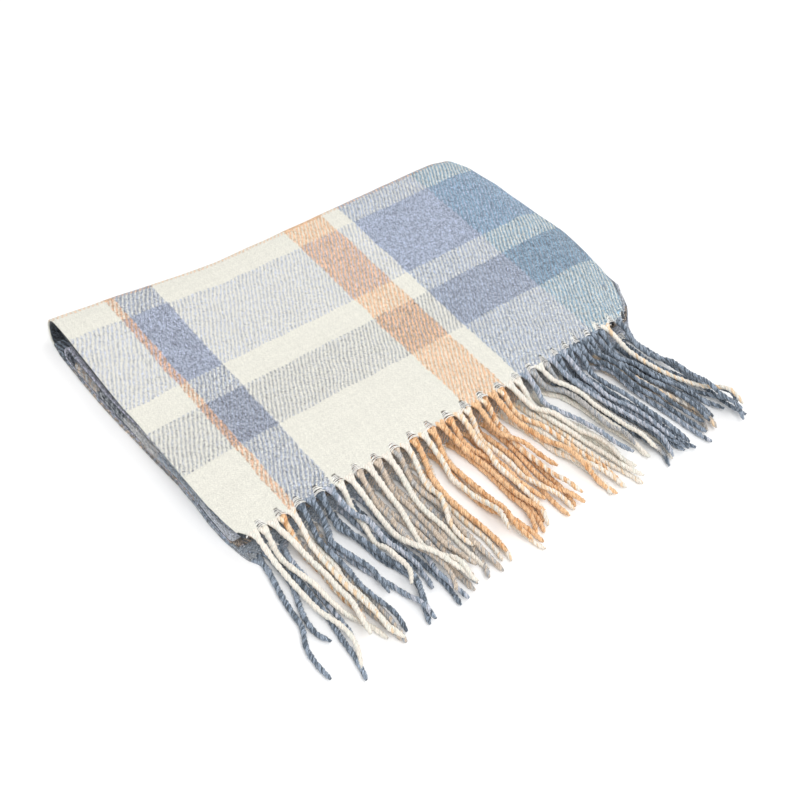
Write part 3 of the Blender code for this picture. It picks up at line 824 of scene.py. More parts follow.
@dataclass
class FoldedCloth:
    """A width of the scarf folded in two along its length and wrapped round the pad.

    It is one sheet with two plies: the outer one from the left selvedge to the lengthwise
    fold at the right, and the inner one back to the other selvedge.
    """

    name: str
    node: str
    top: float
    low: float
    front: float
    lower_front: float
    back: float
    radius: float
    left: float
    right_inset: float
    sag: float
    row_step: float
    staggers: tuple[float, float, float, float]
    selvedge_slips: tuple[float, float]
    least_step: float = 0.0003
    slip_run: float = 0.012
    turn_steps: int = 14
    edge_steps: tuple[float, ...] = (0.0, 0.0012, 0.0026, 0.0044, 0.0066, BARE_RUN)

    def path(self) -> list[PathPlace]:
        """The cloth's path round the pad.

        Returns:
            Places from the upper front edge round the back to the lower front edge.
        """
        turn, middle = self.back - self.radius, self.low + self.radius
        count = round((turn - self.front - BARE_RUN) / self.row_step)
        tops = [self.front + step for step in self.edge_steps]
        tops += spread(self.front + BARE_RUN, turn, count)[1:]
        spots = [(y, self.top - sunk(self.sag, y)) for y in tops]
        for index in range(1, self.turn_steps):
            angle = math.radians(90.0 - 180.0 * index / self.turn_steps)
            spots.append((turn + self.radius * math.cos(angle),
                          middle + self.radius * math.sin(angle)))
        count = round((turn - self.lower_front - BARE_RUN) / (1.4 * self.row_step))
        lows = spread(turn, self.lower_front + BARE_RUN, count)
        lows += [self.lower_front + step for step in self.edge_steps[-2::-1]]
        spots += [(y, self.low) for y in lows]
        runs = [0.0, *np.cumsum([math.dist(*pair) for pair in zip(spots, spots[1:])])]
        places = []
        for spot, before, after, run in zip(spots, spots[:1] + spots, spots[1:] + spots[-1:], runs):
            step = np.subtract(after, before) / math.dist(before, after)
            places.append(PathPlace(*spot, -step[1], step[0], run, runs[-1] - run))
        return places

    def stations(self, stagger: float, last: float) -> Array:
        """Places across a ply, so that the bare gaps at its edge fall between them.

        Args:
            stagger: How far the tassels at its edge are shifted, in pitches.
            last: The last place, at the lengthwise fold.

        Returns:
            The places, from the left selvedge to the fold.
        """
        inner = BARE_HALF_GAP - BARE_SHOULDER
        steps = (-BARE_HALF_GAP, -inner, 0.0, inner, BARE_HALF_GAP, TASSEL_PITCH / 2.0)
        marks = [(number + stagger) * TASSEL_PITCH + step
                 for number in range(-1, TASSELS + 1) for step in steps]
        slack = self.least_step * np.arange(len(marks))
        return np.minimum(np.maximum(marks, self.left + slack), last - slack[::-1])

    def ring(self, spot: PathPlace) -> tuple[Array, Array, int]:
        """The closed section of the cloth at one place of its path.

        Args:
            spot: The place.

        Returns:
            The section's points, their places in the weave and the stations in a ply.
        """
        thick = 2.0 * PLY + PLY_AIR
        last = PAD_WIDTH - self.right_inset - thick / 2.0
        share = float(smooth(spot.from_upper_edge / (spot.from_upper_edge + spot.from_lower_edge)))
        lower_outer, lower_inner, upper_inner, upper_outer = self.staggers
        outer, inner = (self.stations(upper + (lower - upper) * share, last) for upper, lower
                        in ((upper_outer, lower_outer), (upper_inner, lower_inner)))
        slips = (math.sin(spot.depth * 71.0 + 0.4), 1.0 + math.sin(spot.depth * 58.0 + 2.0))
        for ply, slip in zip((outer, inner), np.multiply(self.selvedge_slips, slips)):
            ply += np.exp(-(ply - ply[0]) / self.slip_run) * slip
        bend = np.radians((-60.0, -30.0, 0.0, 30.0, 60.0))
        tight = np.radians((-50.0, 50.0))
        count = len(outer)
        across = np.concatenate((
            outer, last + thick / 2.0 * np.cos(bend), inner[::-1], [inner[0] - self.least_step],
            inner, last + PLY_AIR / 2.0 * np.cos(tight[::-1]), outer[::-1],
            [outer[0] - self.least_step],
        ))
        inward = np.concatenate((
            np.zeros(count), thick / 2.0 * (1.0 + np.sin(bend)), np.full(count, thick),
            [thick - PLY / 2.0], np.full(count, thick - PLY),
            thick / 2.0 + PLY_AIR / 2.0 * np.sin(tight[::-1]), np.full(count, PLY), [PLY / 2.0],
        ))
        weave = np.concatenate((
            outer, last + thick / 2.0 * (math.pi / 2.0 + bend), SCARF_WIDTH - inner[::-1],
        ))
        upper, lower = (
            np.where(inward > thick / 2.0, bare_gap(across, inside), bare_gap(across, outside))
            * (1.0 - smooth(run / BARE_RUN))
            for inside, outside, run in ((upper_inner, upper_outer, spot.from_upper_edge),
                                         (lower_inner, lower_outer, spot.from_lower_edge)))
        y = spot.depth - spot.out_depth * inward
        z = spot.height - spot.out_height * inward
        points = SETTLING.place(across, y + upper + lower, z, creased=True)
        weave = self.true_run(SETTLING.place(across, y, z), weave, count)
        return points, np.stack((weave, spot.from_upper_edge + upper), axis=-1), count

    def true_run(self, points: Array, weave: Array, count: int) -> Array:
        """Lay the weave over the settled fold without squeezing it.

        Args:
            points: A section's points, as settled.
            weave: How far across the straight cloth those on its outer faces lie.
            count: How many stations are in a ply.

        Returns:
            How far across the settled cloth each point lies.
        """
        steps = np.linalg.norm(np.diff(points[:len(weave)], axis=0), axis=1)
        run = np.concatenate(([0.0], np.cumsum(steps)))
        start = PAD_WIDTH - SETTLING.right_reach
        held = float(np.interp(start, weave[:count], run[:count]))
        run = np.where(weave < start, weave, start + run - held)
        return np.concatenate((
            run, [run[-1]], run[:count + 4:-1], [run[count + 4], run[count]], run[count - 1::-1],
            [run[0]],
        ))

    def mesh(self, materials: list[bpy.types.Material]) -> bpy.types.Object:
        """Build the cloth.

        Args:
            materials: The finishes of its outer ply, its turned-in ply and its lower end.

        Returns:
            The new object.
        """
        path = self.path()
        points, weave, counts = zip(*(self.ring(spot) for spot in path))
        count, sides, last = counts[0], len(points[0]), len(path) - 1
        weave = np.concatenate(weave)
        turned = np.zeros(sides, dtype=int)
        turned[count + 3:3 * count + 7] = 1
        finishes = np.tile(turned, (last, 1))
        finishes[next(i for i in range(last) if path[i].height < self.low + 0.00005):] = 2
        outside = np.r_[sides - 1, 0:2 * count + 6]
        inside = np.r_[sides - 1, 4 * count + 7:3 * count + 7:-1, [3 * count + 7] * 3,
                       [3 * count + 6] * 2, 3 * count + 5:2 * count + 5:-1, 2 * count + 5]
        front = np.ones(len(outside) - 1, dtype=int)
        front[1:count + 1] = 0
        quads = np.concatenate((sweep_quads(len(path), sides), end_quads(outside, inside, 1),
                                end_quads(outside, inside, -1) + last * sides))
        parts = MeshParts()
        parts.add(np.concatenate(points), quads, weave[quads],
                  np.concatenate((finishes.ravel(), front, np.full(len(front), 2))))
        return parts.build(self.name, materials, sharp=55.0)


@dataclass
class BareWefts:
    """The last weft yarns, bowed across the bare gaps between one row's tassels."""

    row: "TasselRow"
    number: int = 5
    pitch: float = 0.00108
    radius: float = 0.00031
    overlap: float = 0.0012
    bow: tuple[float, float] = (0.0010, 0.0019)
    arch: float = 0.0007
    sections: int = 7

    def mesh(self, material: bpy.types.Material) -> bpy.types.Object:
        """Build the yarns.

        Args:
            material: Their finish.

        Returns:
            The new object.
        """
        rng = random.Random(self.row.seed)
        parts = MeshParts()
        t = np.linspace(-1.0, 1.0, self.sections)
        sides, ups = (np.tile(way, (self.sections, 1))
                      for way in ((0.0, -1.0, 0.0), (0.0, 0.0, 1.0)))
        radii = np.full(self.sections, self.radius)
        for gap in range(TASSELS + 1):
            middle = (gap + self.row.stagger) * TASSEL_PITCH
            if not EDGE_MARGIN < middle < PAD_WIDTH - EDGE_MARGIN:
                continue
            for number in range(self.number):
                reach = (BARE_HALF_GAP + self.overlap - 0.0003 * number
                         + rng.uniform(-0.0003, 0.0006))
                bow = rng.uniform(*self.bow)
                depth = 0.0003 + number * self.pitch + rng.uniform(-0.0002, 0.0002)
                x = middle + reach * t
                y = self.row.edge + depth - bow * t * t + 0.0004 * t * rng.uniform(-1.0, 1.0)
                z = self.row.height + self.arch * np.cos(t * 1.6) + rng.uniform(-0.0001, 0.0001)
                centres = SETTLING.place(x, y, z, creased=True)
                parts.add(*tube(centres, sides, ups, radii, radii, 4, x))
        return parts.build("bare_wefts_" + self.row.name, [material])


# ---------------------------------------------------------------- deeper layers


@dataclass(frozen=True)
class Layer:
    """One layer of the rounded inner cloth: its heights and its insets."""

    bottom: float
    top: float
    left_inset: float
    right_inset: float


@dataclass
class InnerCloth:
    """The deeper layers of the fold as one rounded piece, layered at its sides."""

    name: str = "inner_cloth"
    node: str = "inner_layers"
    front: float = 0.0070
    back: float = 0.1725
    sag: float = 0.0034
    middle: float = 0.17
    roundness: float = 0.0017
    bends: int = 6
    face_steps: int = 56
    layers: tuple[Layer, ...] = rows(
        Layer, (5.2, 9.4, 0.2, 6.0), (9.4, 11.8, 1.2, 4.8), (11.8, 13.7, 2.6, 6.4))

    def outline(self) -> tuple[Array, Array, Array]:
        """The section's outline in the straight block.

        Returns:
            Places across, heights, and the distance round the outline.
        """
        points = []
        for right in (False, True):
            for layer in self.layers[::-1 if right else 1]:
                for share in spread(0.06, 0.94, self.bends)[::-1 if right else 1]:
                    flat = 1.0 - math.sqrt(1.0 - (2.0 * share - 1.0) ** 2)
                    inset = layer.right_inset if right else layer.left_inset
                    inset += self.roundness * flat
                    points.append((PAD_WIDTH - inset if right else inset,
                                   layer.bottom + (layer.top - layer.bottom) * share))
            height = self.layers[0].bottom if right else self.layers[-1].top
            face = spread(0.010, PAD_WIDTH - 0.012, self.face_steps)
            points += [(x, height) for x in face[::-1 if right else 1]]
        across, height = np.array(points).T
        steps = [math.dist(*pair) for pair in zip(points, points[1:])]
        return across, height, np.array([0.0, *np.cumsum(steps)])

    def mesh(self, material: bpy.types.Material) -> bpy.types.Object:
        """Build the layers.

        Args:
            material: Their finish.

        Returns:
            The new object.
        """
        across, height, run = self.outline()
        low, high = self.layers[0].bottom, self.layers[-1].top
        middle = (low + high) / 2.0
        ends = ((0.0, 0.62), (0.0007, 0.30), (0.0022, 0.06))
        depths = [(self.front + step, shrink) for step, shrink in ends]
        depths += [(y, 0.0) for y in spread(0.012, 0.168, 52)]
        depths += [(self.back - step, shrink) for step, shrink in reversed(ends)]
        points, weave = [], []
        for y, shrink in depths:
            lowered = height - sunk(self.sag, y) * (height - low) / (high - low)
            z = middle + (lowered - middle) * (1.0 - shrink)
            x = across + shrink * 0.002 * np.where(across < self.middle, 1.0, -1.0)
            slip = np.exp(-across / 0.02) * 0.0006 * np.sin(y * 66.0 + height * 900.0)
            points.append(SETTLING.place(x + slip, y, z, creased=True))
            weave.append(np.stack((run, 0.0 * run + y), axis=-1))
        side, face = (self.bends + 1) * len(self.layers), self.face_steps + 1
        turn, half = side + face, side // 2
        upper = np.r_[half:turn + half + 1]
        lower = np.r_[half:-1:-1, 2 * turn - 1:turn + half - 1:-1]
        last = (len(depths) - 1) * len(across)
        quads = np.concatenate((sweep_quads(len(depths), len(across)), end_quads(upper, lower, 1),
                                end_quads(upper, lower, -1) + last))
        parts = MeshParts()
        parts.add(np.concatenate(points), quads, np.concatenate(weave)[quads])
        return parts.build(self.name, [material], sharp=70.0)


# ---------------------------------------------------------------- tassels


@dataclass(frozen=True)
class Fall:
    """How tassels with roots near one place fall: where their tips lie, and how far forward."""

    roots: float
    tips: float
    reach: float


UPPER_FALLS = rows(
    Fall, (9.6, 19.0, 102.0), (16.2, 35.0, 94.0), (22.6, 30.0, 90.0), (29.3, 33.0, 88.0),
    (36.2, 36.0, 96.0), (43.1, 50.0, 97.0), (50.3, 60.0, 72.0), (57.5, 61.0, 100.0),
    (64.7, 81.0, 72.0), (71.9, 65.0, 80.0), (79.1, 91.0, 99.0), (86.3, 86.0, 98.0),
    (93.4, 96.0, 98.0), (100.6, 103.0, 88.0), (107.8, 109.0, 92.0), (115.0, 118.0, 95.0),
    (122.2, 112.0, 77.0), (129.4, 129.0, 90.0), (136.6, 133.0, 86.0), (143.8, 146.0, 96.0),
    (150.9, 161.0, 83.0), (158.1, 170.0, 80.0), (165.3, 164.0, 94.0), (172.5, 177.0, 94.0),
    (179.7, 192.0, 66.0), (186.9, 188.0, 90.0), (194.1, 214.0, 97.0), (201.3, 231.0, 92.0),
    (208.4, 242.0, 86.0), (215.6, 233.0, 100.0), (222.5, 244.0, 87.0), (228.9, 247.0, 80.0),
    (234.9, 251.0, 90.0), (240.5, 260.0, 98.0), (245.8, 264.0, 100.0), (251.0, 267.0, 96.0),
    (255.7, 273.0, 94.0), (260.5, 276.0, 97.0), (265.2, 289.0, 100.0), (269.8, 293.0, 97.0),
    (274.7, 298.0, 94.0), (279.6, 304.0, 96.0), (284.7, 307.0, 88.0), (290.0, 314.0, 92.0),
    (295.6, 324.0, 100.0), (308.1, 323.0, 104.0),
)
LOWER_FALLS = rows(
    Fall, (6.9, -5.0, 92.0), (13.0, 3.0, 75.0), (20.5, 13.0, 104.0), (26.5, 16.0, 79.0),
    (33.5, 41.0, 99.0), (47.2, 50.0, 98.0), (58.0, 60.0, 100.0), (68.0, 82.0, 80.0),
    (78.0, 87.0, 98.0), (93.0, 97.0, 96.0), (104.6, 106.0, 91.0), (115.0, 118.0, 96.0),
    (126.0, 129.0, 92.0), (135.0, 135.0, 92.0), (144.0, 147.0, 96.0), (156.0, 162.0, 92.0),
    (169.0, 171.0, 84.0), (178.0, 179.0, 93.0), (187.0, 189.0, 90.0), (200.0, 214.0, 96.0),
    (213.0, 232.0, 98.0), (224.0, 244.0, 88.0), (234.0, 248.0, 86.0), (245.0, 262.0, 98.0),
    (257.0, 275.0, 96.0), (268.0, 291.0, 99.0), (281.0, 305.0, 94.0), (292.0, 312.0, 88.0),
    (304.0, 326.0, 102.0),
)


CORD_HALF_WIDTH = 0.0017


@dataclass(frozen=True)
class Parting:
    """A narrow place where the tassels lie apart: its two ends and its half width."""

    near_x: float
    near_y: float
    far_x: float
    far_y: float
    half_width: float

    def push(self, points: list[Point], firm: bool) -> list[Point]:
        """Move one tassel's route aside, to the side on which it already runs.

        Args:
            points: The route, in the frame of the finished part.
            firm: Whether only what lies in the parting moves, and just clear of it.

        Returns:
            The route beside the parting.
        """
        middle = (self.near_y + self.far_y) / 2.0 - MIDDLE[1]
        at = min(points, key=lambda point: abs(point[1] - middle))
        side = 1.0 if at[0] + MIDDLE[0] > (self.near_x + self.far_x) / 2.0 else -1.0
        clear = self.half_width + CORD_HALF_WIDTH
        moved = []
        for x, y, z in points:
            depth = y + MIDDLE[1]
            share = (depth - self.near_y) / (self.far_y - self.near_y)
            line = self.near_x + (self.far_x - self.near_x) * max(-0.3, min(1.3, share))
            gap = side * (x + MIDDLE[0] - line)
            held = smooth((-0.004 - depth) / 0.026) * smooth((share + 0.9) / 0.9)
            soft = clear * max(0.0, min(1.0, 1.0 - gap / (3.0 * clear)))
            push = max(0.0, clear - gap) if firm else soft
            push *= float(held * (1.0 - smooth(share - 1.05)))
            moved.append((x + side * push, y, z))
        return moved


PARTINGS = rows(
    Parting,
    (-3.0, -82.0, 0.0, -95.0, 2.2), (24.0, -18.0, 26.5, -55.0, 2.4),
    (49.0, -62.0, 57.0, -89.0, 4.2), (53.0, -37.0, 65.0, -67.0, 3.4),
    (131.0, -38.0, 135.0, -76.0, 3.6), (149.0, -14.0, 150.5, -62.0, 2.8),
    (173.0, -18.0, 176.0, -36.0, 1.0), (195.0, -36.0, 198.0, -72.0, 1.8),
    (235.0, -22.0, 238.0, -66.0, 4.6), (274.0, -14.0, 276.5, -68.0, 4.0),
)


class Cord(Enum):
    """The kinds of two-ply cord: the two yarns of their singles, and the second one's share."""

    CREAM = (Yarn.IVORY, Yarn.CREAM, 0.35)
    PEACH = (Yarn.APRICOT, Yarn.RUSSET, 0.22)
    BLUSH = (Yarn.BLUSH, Yarn.IVORY, 0.45)
    DENIM = (Yarn.STEEL, Yarn.HEATHER, 0.45)
    STEEL = (Yarn.STEEL, Yarn.NAVY, 0.35)
    NAVY = (Yarn.NAVY, Yarn.STEEL, 0.40)
    GREY = (Yarn.GREY, Yarn.ASH, 0.40)
    TAUPE = (Yarn.TAUPE, Yarn.GREY, 0.30)


CORDS = tuple(Cord)


@dataclass(frozen=True)
class Stretch:
    """Tassels of one colouring along an edge: where it ends, and a cord's plies if they differ."""

    until: float
    first: Cord
    other: Cord | None = None


@dataclass(frozen=True)
class Strand:
    """One tassel's route: its root on the edge, its plan and how far forward it reaches."""

    root_x: float
    drift: float
    sway: float
    wave: float
    phase: float
    reach: float


@dataclass
class FringeLaying:
    """How the tassels fall from the edge and come to lie on each other."""

    tip_spread: float = 0.0020
    strip_depth: float = 0.0020
    cord_width: float = 0.0032
    clearance: float = 0.0040
    floor_gap: float = 0.0003
    fall_run: float = 0.030
    stiffness: float = 22.0
    lay_step: float = 0.003
    shift_step: float = 0.0011
    shift_count: int = 3
    shift_cost: float = 0.0004
    stray_cost: float = 0.80
    start_steps: float = 4.0
    arch_steps: int = 8

    def strands(self, row: "TasselRow") -> list[Strand]:
        """Draw the small differences between the tassels of one row.

        Args:
            row: The row.

        Returns:
            Its strands, from left to right.
        """
        rng = random.Random(row.seed)
        strands = []
        for index in range(row.tassels):
            root_x = (index + 0.5 + row.stagger) * TASSEL_PITCH
            root_x = max(EDGE_MARGIN, min(PAD_WIDTH - EDGE_MARGIN, root_x))
            settled = float(SETTLING.place(root_x, row.edge, row.height)[0]) + MIDDLE[0]
            fall = min(row.falls, key=lambda each: abs(each.roots - settled))
            strands.append(Strand(
                root_x=root_x,
                drift=fall.tips - settled + rng.uniform(-self.tip_spread, self.tip_spread),
                sway=rng.uniform(0.0005, 0.0022),
                wave=rng.uniform(0.050, 0.085),
                phase=rng.uniform(0.0, 2.0 * math.pi),
                reach=fall.reach + row.edge / 2.0 + rng.uniform(-self.tip_spread, self.tip_spread),
            ))
        return strands

    def free_route(self, row: "TasselRow", strand: Strand) -> list[Point]:
        """The strand's route with nothing under it but the table.

        Args:
            row: Its row.
            strand: The strand.

        Returns:
            Points along the route, a step apart.
        """
        edge = row.edge - SEAM_GAP - self.strip_depth
        x, y, z = SETTLING.place(strand.root_x, edge, row.height)
        rest = self.cord_width / 2.0 + self.floor_gap
        points = []
        run = 0.0
        while run < strand.reach:
            sway = strand.sway * math.sin(2.0 * math.pi * run / strand.wave + strand.phase)
            aside = strand.drift * float(smooth(run / strand.reach))
            aside += sway * float(smooth(run / self.fall_run))
            fallen = float(smooth(run / row.fall))
            points.append((x + aside, y - run, z + (rest - z) * fallen ** 0.8))
            run += self.lay_step / (1.0 + 0.9 * fallen * (1.0 - fallen))
        return points

    def clear_height(self, x: float, y: float, laid: Array) -> float:
        """The least height at which a cord clears every strand already lying near (x, y)."""
        rise = self.clearance ** 2 - ((laid[:, 0] - x) ** 2 + (laid[:, 1] - y) ** 2)
        return float((laid[rise > 0.0, 2] + np.sqrt(rise[rise > 0.0])).max(initial=0.0))

    def find_hollows(self, points: list[Point], laid: Array) -> list[Point]:
        """Shift a strand sideways, within limits, so that it sinks between earlier ones.

        Args:
            points: Its free route.
            laid: Points of the strands that already lie there.

        Returns:
            The shifted route.
        """
        start = self.shift_count
        shifts = [self.shift_step * step for step in range(-start, start + 1)]
        costs, trails = {start: 0.0}, []
        for index, (x, y, z) in enumerate(points):
            reach = min(start, max(0, index - 2))
            following, trail = {}, {}
            for place in range(start - reach, start + reach + 1):
                least, trail[place] = min(
                    (costs[before] + self.shift_cost * abs(place - before), before)
                    for before in (place - 1, place, place + 1) if before in costs)
                lift = max(0.0, self.clear_height(x + shifts[place], y, laid) - z)
                following[place] = least + lift + self.stray_cost * abs(shifts[place])
            costs = following
            trails.append(trail)
        chosen = [min(costs, key=costs.get)]
        for trail in trails[:0:-1]:
            chosen.append(trail[chosen[-1]])
        chosen.reverse()
        moved = []
        for index, (x, y, z) in enumerate(points):
            window = [shifts[place] for place in chosen[max(0, index - 2):index + 3]]
            free = float(smooth(index / self.start_steps))
            moved.append((x + sum(window) / len(window) * free, y, z))
        return moved

    def lay(self, points: list[Point], laid: Array) -> list[list[float]]:
        """Lift a strand over the ones that already lie there, as a stiff cord would arch.

        Args:
            points: Its route.
            laid: Points of the strands that already lie there.

        Returns:
            The lifted route.
        """
        need = [self.clear_height(x, y, laid) for x, y, _ in points]
        lifted = []
        for index, (x, y, z) in enumerate(points):
            near = slice(max(0, index - self.arch_steps), index + self.arch_steps + 1)
            arch = max(height - self.stiffness * math.hypot(x - at[0], y - at[1]) ** 2
                       for at, height in zip(points[near], need[near]))
            free = float(smooth(index / self.start_steps))
            lifted.append([x, y, z + (max(z, arch) - z) * free])
        return lifted

    def bends(self, route: list[list[float]], laid: Array) -> Array:
        """Pick the points that shape a strand, and raise them until it clears the others.

        Args:
            route: The strand's route.
            laid: Points of the strands that already lie there.

        Returns:
            The points that shape it.
        """
        last = len(route) - 8
        places = sorted({0, 2, 4, 7, *(round(7 + last * step / 6) for step in range(1, 7))})
        for _ in range(3):
            for start, end in zip(places[1:], places[2:]):
                for t in spread(0.0, 1.0, 8):
                    x, y, z = (a + (b - a) * t for a, b in zip(route[start], route[end]))
                    short = max(0.0, self.clear_height(x, y, laid) - z)
                    route[start][2] += short * min(1.0, 2.0 * (1.0 - t))
                    route[end][2] += short * min(1.0, 2.0 * t)
        return np.array([route[place] for place in places])

    def lay_all(self, fringe: tuple["TasselRow", ...]) -> list[list[tuple[Strand, Array]]]:
        """Lay every row in turn.

        Args:
            fringe: The rows, the lowest first.

        Returns:
            For each row, its strands and the points that shape each.
        """
        laid = np.empty((0, 3))
        all_routes = []
        for row in fringe:
            all_routes.append([])
            for strand in self.strands(row):
                points = self.free_route(row, strand)
                for firm in (False, True):
                    points = self.find_hollows(points, laid) if firm else points
                    for parting in PARTINGS:
                        points = parting.push(points, firm)
                knots = self.bends(self.lay(points, laid), laid)
                t = np.arange(1, 9)[:, None] / 8.0
                runs = knots[:-1, None] + (knots[1:] - knots[:-1])[:, None] * t
                laid = np.vstack((laid, knots[:1], runs.reshape(-1, 3)))
                all_routes[-1].append((strand, knots))
        return all_routes


@dataclass(frozen=True)
class Ply:
    """One ply of a cord: its middle line, the unit vectors there, its half sizes and finish."""

    centres: Array
    side: Array
    up: Array
    run: Array
    across: Array
    tall: Array
    finish: int


@dataclass
class TasselRow:
    """One row of two-ply cords, each made from the warp yarns of its stretch of edge."""

    name: str
    edge: float
    height: float
    tassels: int
    stagger: float
    fall: float
    seed: int
    falls: tuple[Fall, ...]
    colours: tuple[Stretch, ...]
    ply_radius: float = 0.00156
    ply_offset: float = 0.00036
    corners: int = 7
    lay: float = 0.0058
    root_half_width: float = 0.0019
    root_half_height: float = 0.00050
    root_depth: float = 0.0016
    gather: float = 0.0075
    twist_from: float = 0.0040
    lift: float = 0.00045
    lift_run: float = 0.015
    curl_run: float = 0.022
    tip_run: float = 0.0034
    section_step: float = 0.0010
    hairs: int = 130
    slim_from: float = 0.235
    slim: float = 0.86

    def centre_line(self, bends: Array, strand: Strand) -> tuple[Array, Array]:
        """A smooth line through the strand's bends, from just inside the cloth's edge.

        Args:
            bends: The points that shape it.
            strand: Its strand.

        Returns:
            Points at even steps, and how far along the cord each lies.
        """
        inside = SETTLING.place(strand.root_x, self.edge + self.root_depth, self.height)
        knots = np.vstack((inside, bends))
        beyond = np.vstack((2.0 * knots[0] - knots[1], knots, 2.0 * knots[-1] - knots[-2]))
        t = np.linspace(0.0, 1.0, 9)[:-1, None]
        fine = []
        for a, b, c, d in zip(beyond, beyond[1:], beyond[2:], beyond[3:]):
            span = np.linalg.norm(c - b)
            enter, leave = (way / max(np.linalg.norm(way), 1e-9) * span for way in (c - a, d - b))
            fine.append((2 * t**3 - 3 * t**2 + 1) * b + (t**3 - 2 * t**2 + t) * enter
                        + (3 * t**2 - 2 * t**3) * c + (t**3 - t**2) * leave)
        fine = np.vstack((*fine, knots[-1]))
        run = np.concatenate(([0.0], np.cumsum(np.linalg.norm(np.diff(fine, axis=0), axis=1))))
        along = np.linspace(0.0, run[-1], max(int(run[-1] / self.section_step), 8))
        line = np.stack([np.interp(along, run, fine[:, axis]) for axis in range(3)], axis=-1)
        line[:, 2] += self.lift * smooth(along / self.lift_run)
        return line, along

    def add_cord(self, parts: MeshParts, bends: Array, strand: Strand, plies: tuple[Cord, Cord],
                 rng: random.Random) -> None:
        """Add one cord with its fuzz.

        Args:
            parts: What it is added to.
            bends: The points that shape it.
            strand: Its strand.
            plies: The yarns of its two plies.
            rng: Where its small differences come from.
        """
        line, along = self.centre_line(bends, strand)
        length = along[-1]
        curl = -rng.choice((-0.6, 1.0, 1.0)) * rng.uniform(0.0008, 0.0065)
        run = np.gradient(line, axis=0)
        run /= np.linalg.norm(run, axis=1)[:, None]
        level = np.hypot(run[:, 0], run[:, 1])[:, None]
        side = np.concatenate((-run[:, 1:2], run[:, 0:1], 0.0 * level), axis=1) / level
        curled = np.clip((along - length + self.curl_run) / self.curl_run, 0.0, 1.0) ** 2
        line = line + side * (curl * curled)[:, None]
        up = np.cross(run, side)
        gathered = smooth(along / self.gather)
        lay = self.lay * rng.uniform(0.88, 1.15)
        twisted = np.maximum(along - self.twist_from, 0.0)
        turns = twisted ** 2 / (twisted + self.twist_from) / lay
        tip = smooth((length - along) / self.tip_run)
        waver = rng.uniform(0.0, 6.0)
        angle = 2.0 * math.pi * (turns + 0.10 * np.sin(along * 510.0 + waver) * gathered)
        plump = (1.0 + 0.09 * np.sin(along * 700.0 + waver)
                 + 0.06 * np.sin(along * 1630.0 + 2.0 * waver))
        taper = 1.14 - 0.28 * along / length
        radius = self.ply_radius * plump * taper * (0.60 + 0.40 * tip) * rng.uniform(0.93, 1.06)
        radius = radius * (self.slim if strand.root_x > self.slim_from else 1.0)
        across, tall = (root * (1.0 - gathered) + radius * gathered
                        for root in (self.root_half_width * 1.02, self.root_half_height))
        for sign, cord in zip((1.0, -1.0), plies):
            out = sign * self.ply_offset * (0.55 + 0.45 * tip) * gathered
            aside = sign * self.root_half_width * (1.0 - gathered) + out * np.cos(angle)
            centres = line + aside[:, None] * side + (out * np.sin(angle))[:, None] * up
            ply = Ply(centres, side, up, run, across, tall, CORDS.index(cord))
            shift = rng.uniform(0.0, 5.0)
            body = tube(centres, side, up, across, tall, self.corners, along + shift)
            parts.add(*body, ply.finish)
            self.add_hairs(parts, ply, rng)

    def add_hairs(self, parts: MeshParts, ply: Ply, rng: random.Random) -> None:
        """Add the loose fibres that stand off one ply.

        Args:
            parts: What they are added to.
            ply: The ply.
            rng: Where the fibres' differences come from.
        """
        points = []
        for _ in range(self.hairs):
            at = rng.randrange(2, len(ply.centres) - 1)
            turn = rng.uniform(0.0, 2.0 * math.pi)
            side, up, run = math.cos(turn) * ply.side[at], math.sin(turn) * ply.up[at], ply.run[at]
            base = ply.centres[at] + ply.across[at] * 0.9 * side + ply.tall[at] * 0.9 * up
            length = rng.uniform(0.0008, 0.0032)
            lean = rng.uniform(-1.3, 1.6)
            out = side + up
            middle = base + length * 0.5 * (0.55 * out + 0.5 * lean * run)
            end = base + length * (0.75 * out + 1.1 * lean * run)
            middle[2], end[2] = max(middle[2], 2.0 * LOWEST), max(end[2], 2.0 * LOWEST)
            width = np.cross(end - base, out + 0.3 * run)
            width = width / max(np.linalg.norm(width), 1e-9) * rng.uniform(0.00003, 0.00007)
            points += [base - width, base + width, middle + 0.7 * width, middle - 0.7 * width, end]
        quads = np.array(((0, 1, 2, 3), (3, 2, 4, 4))) + 5 * np.arange(self.hairs)[:, None, None]
        quads = quads.reshape(-1, 4)
        parts.add(np.array(points), quads, np.full((len(quads), 4, 2), 0.1), ply.finish)

    def mesh(self, routes: list[tuple[Strand, Array]],
             materials: list[bpy.types.Material]) -> bpy.types.Object:
        """Build the row.

        Args:
            routes: Its strands and the points that shape each.
            materials: One finish for each kind of cord.

        Returns:
            The new object.
        """
        rng = random.Random(self.seed * 7 + 1)
        parts = MeshParts()
        for strand, bends in routes:
            stretch = next(each for each in self.colours if strand.root_x <= each.until)
            plies = (stretch.first, stretch.other or stretch.first)
            self.add_cord(parts, bends, strand, plies, rng)
        return parts.build("tassels_" + self.name, materials)


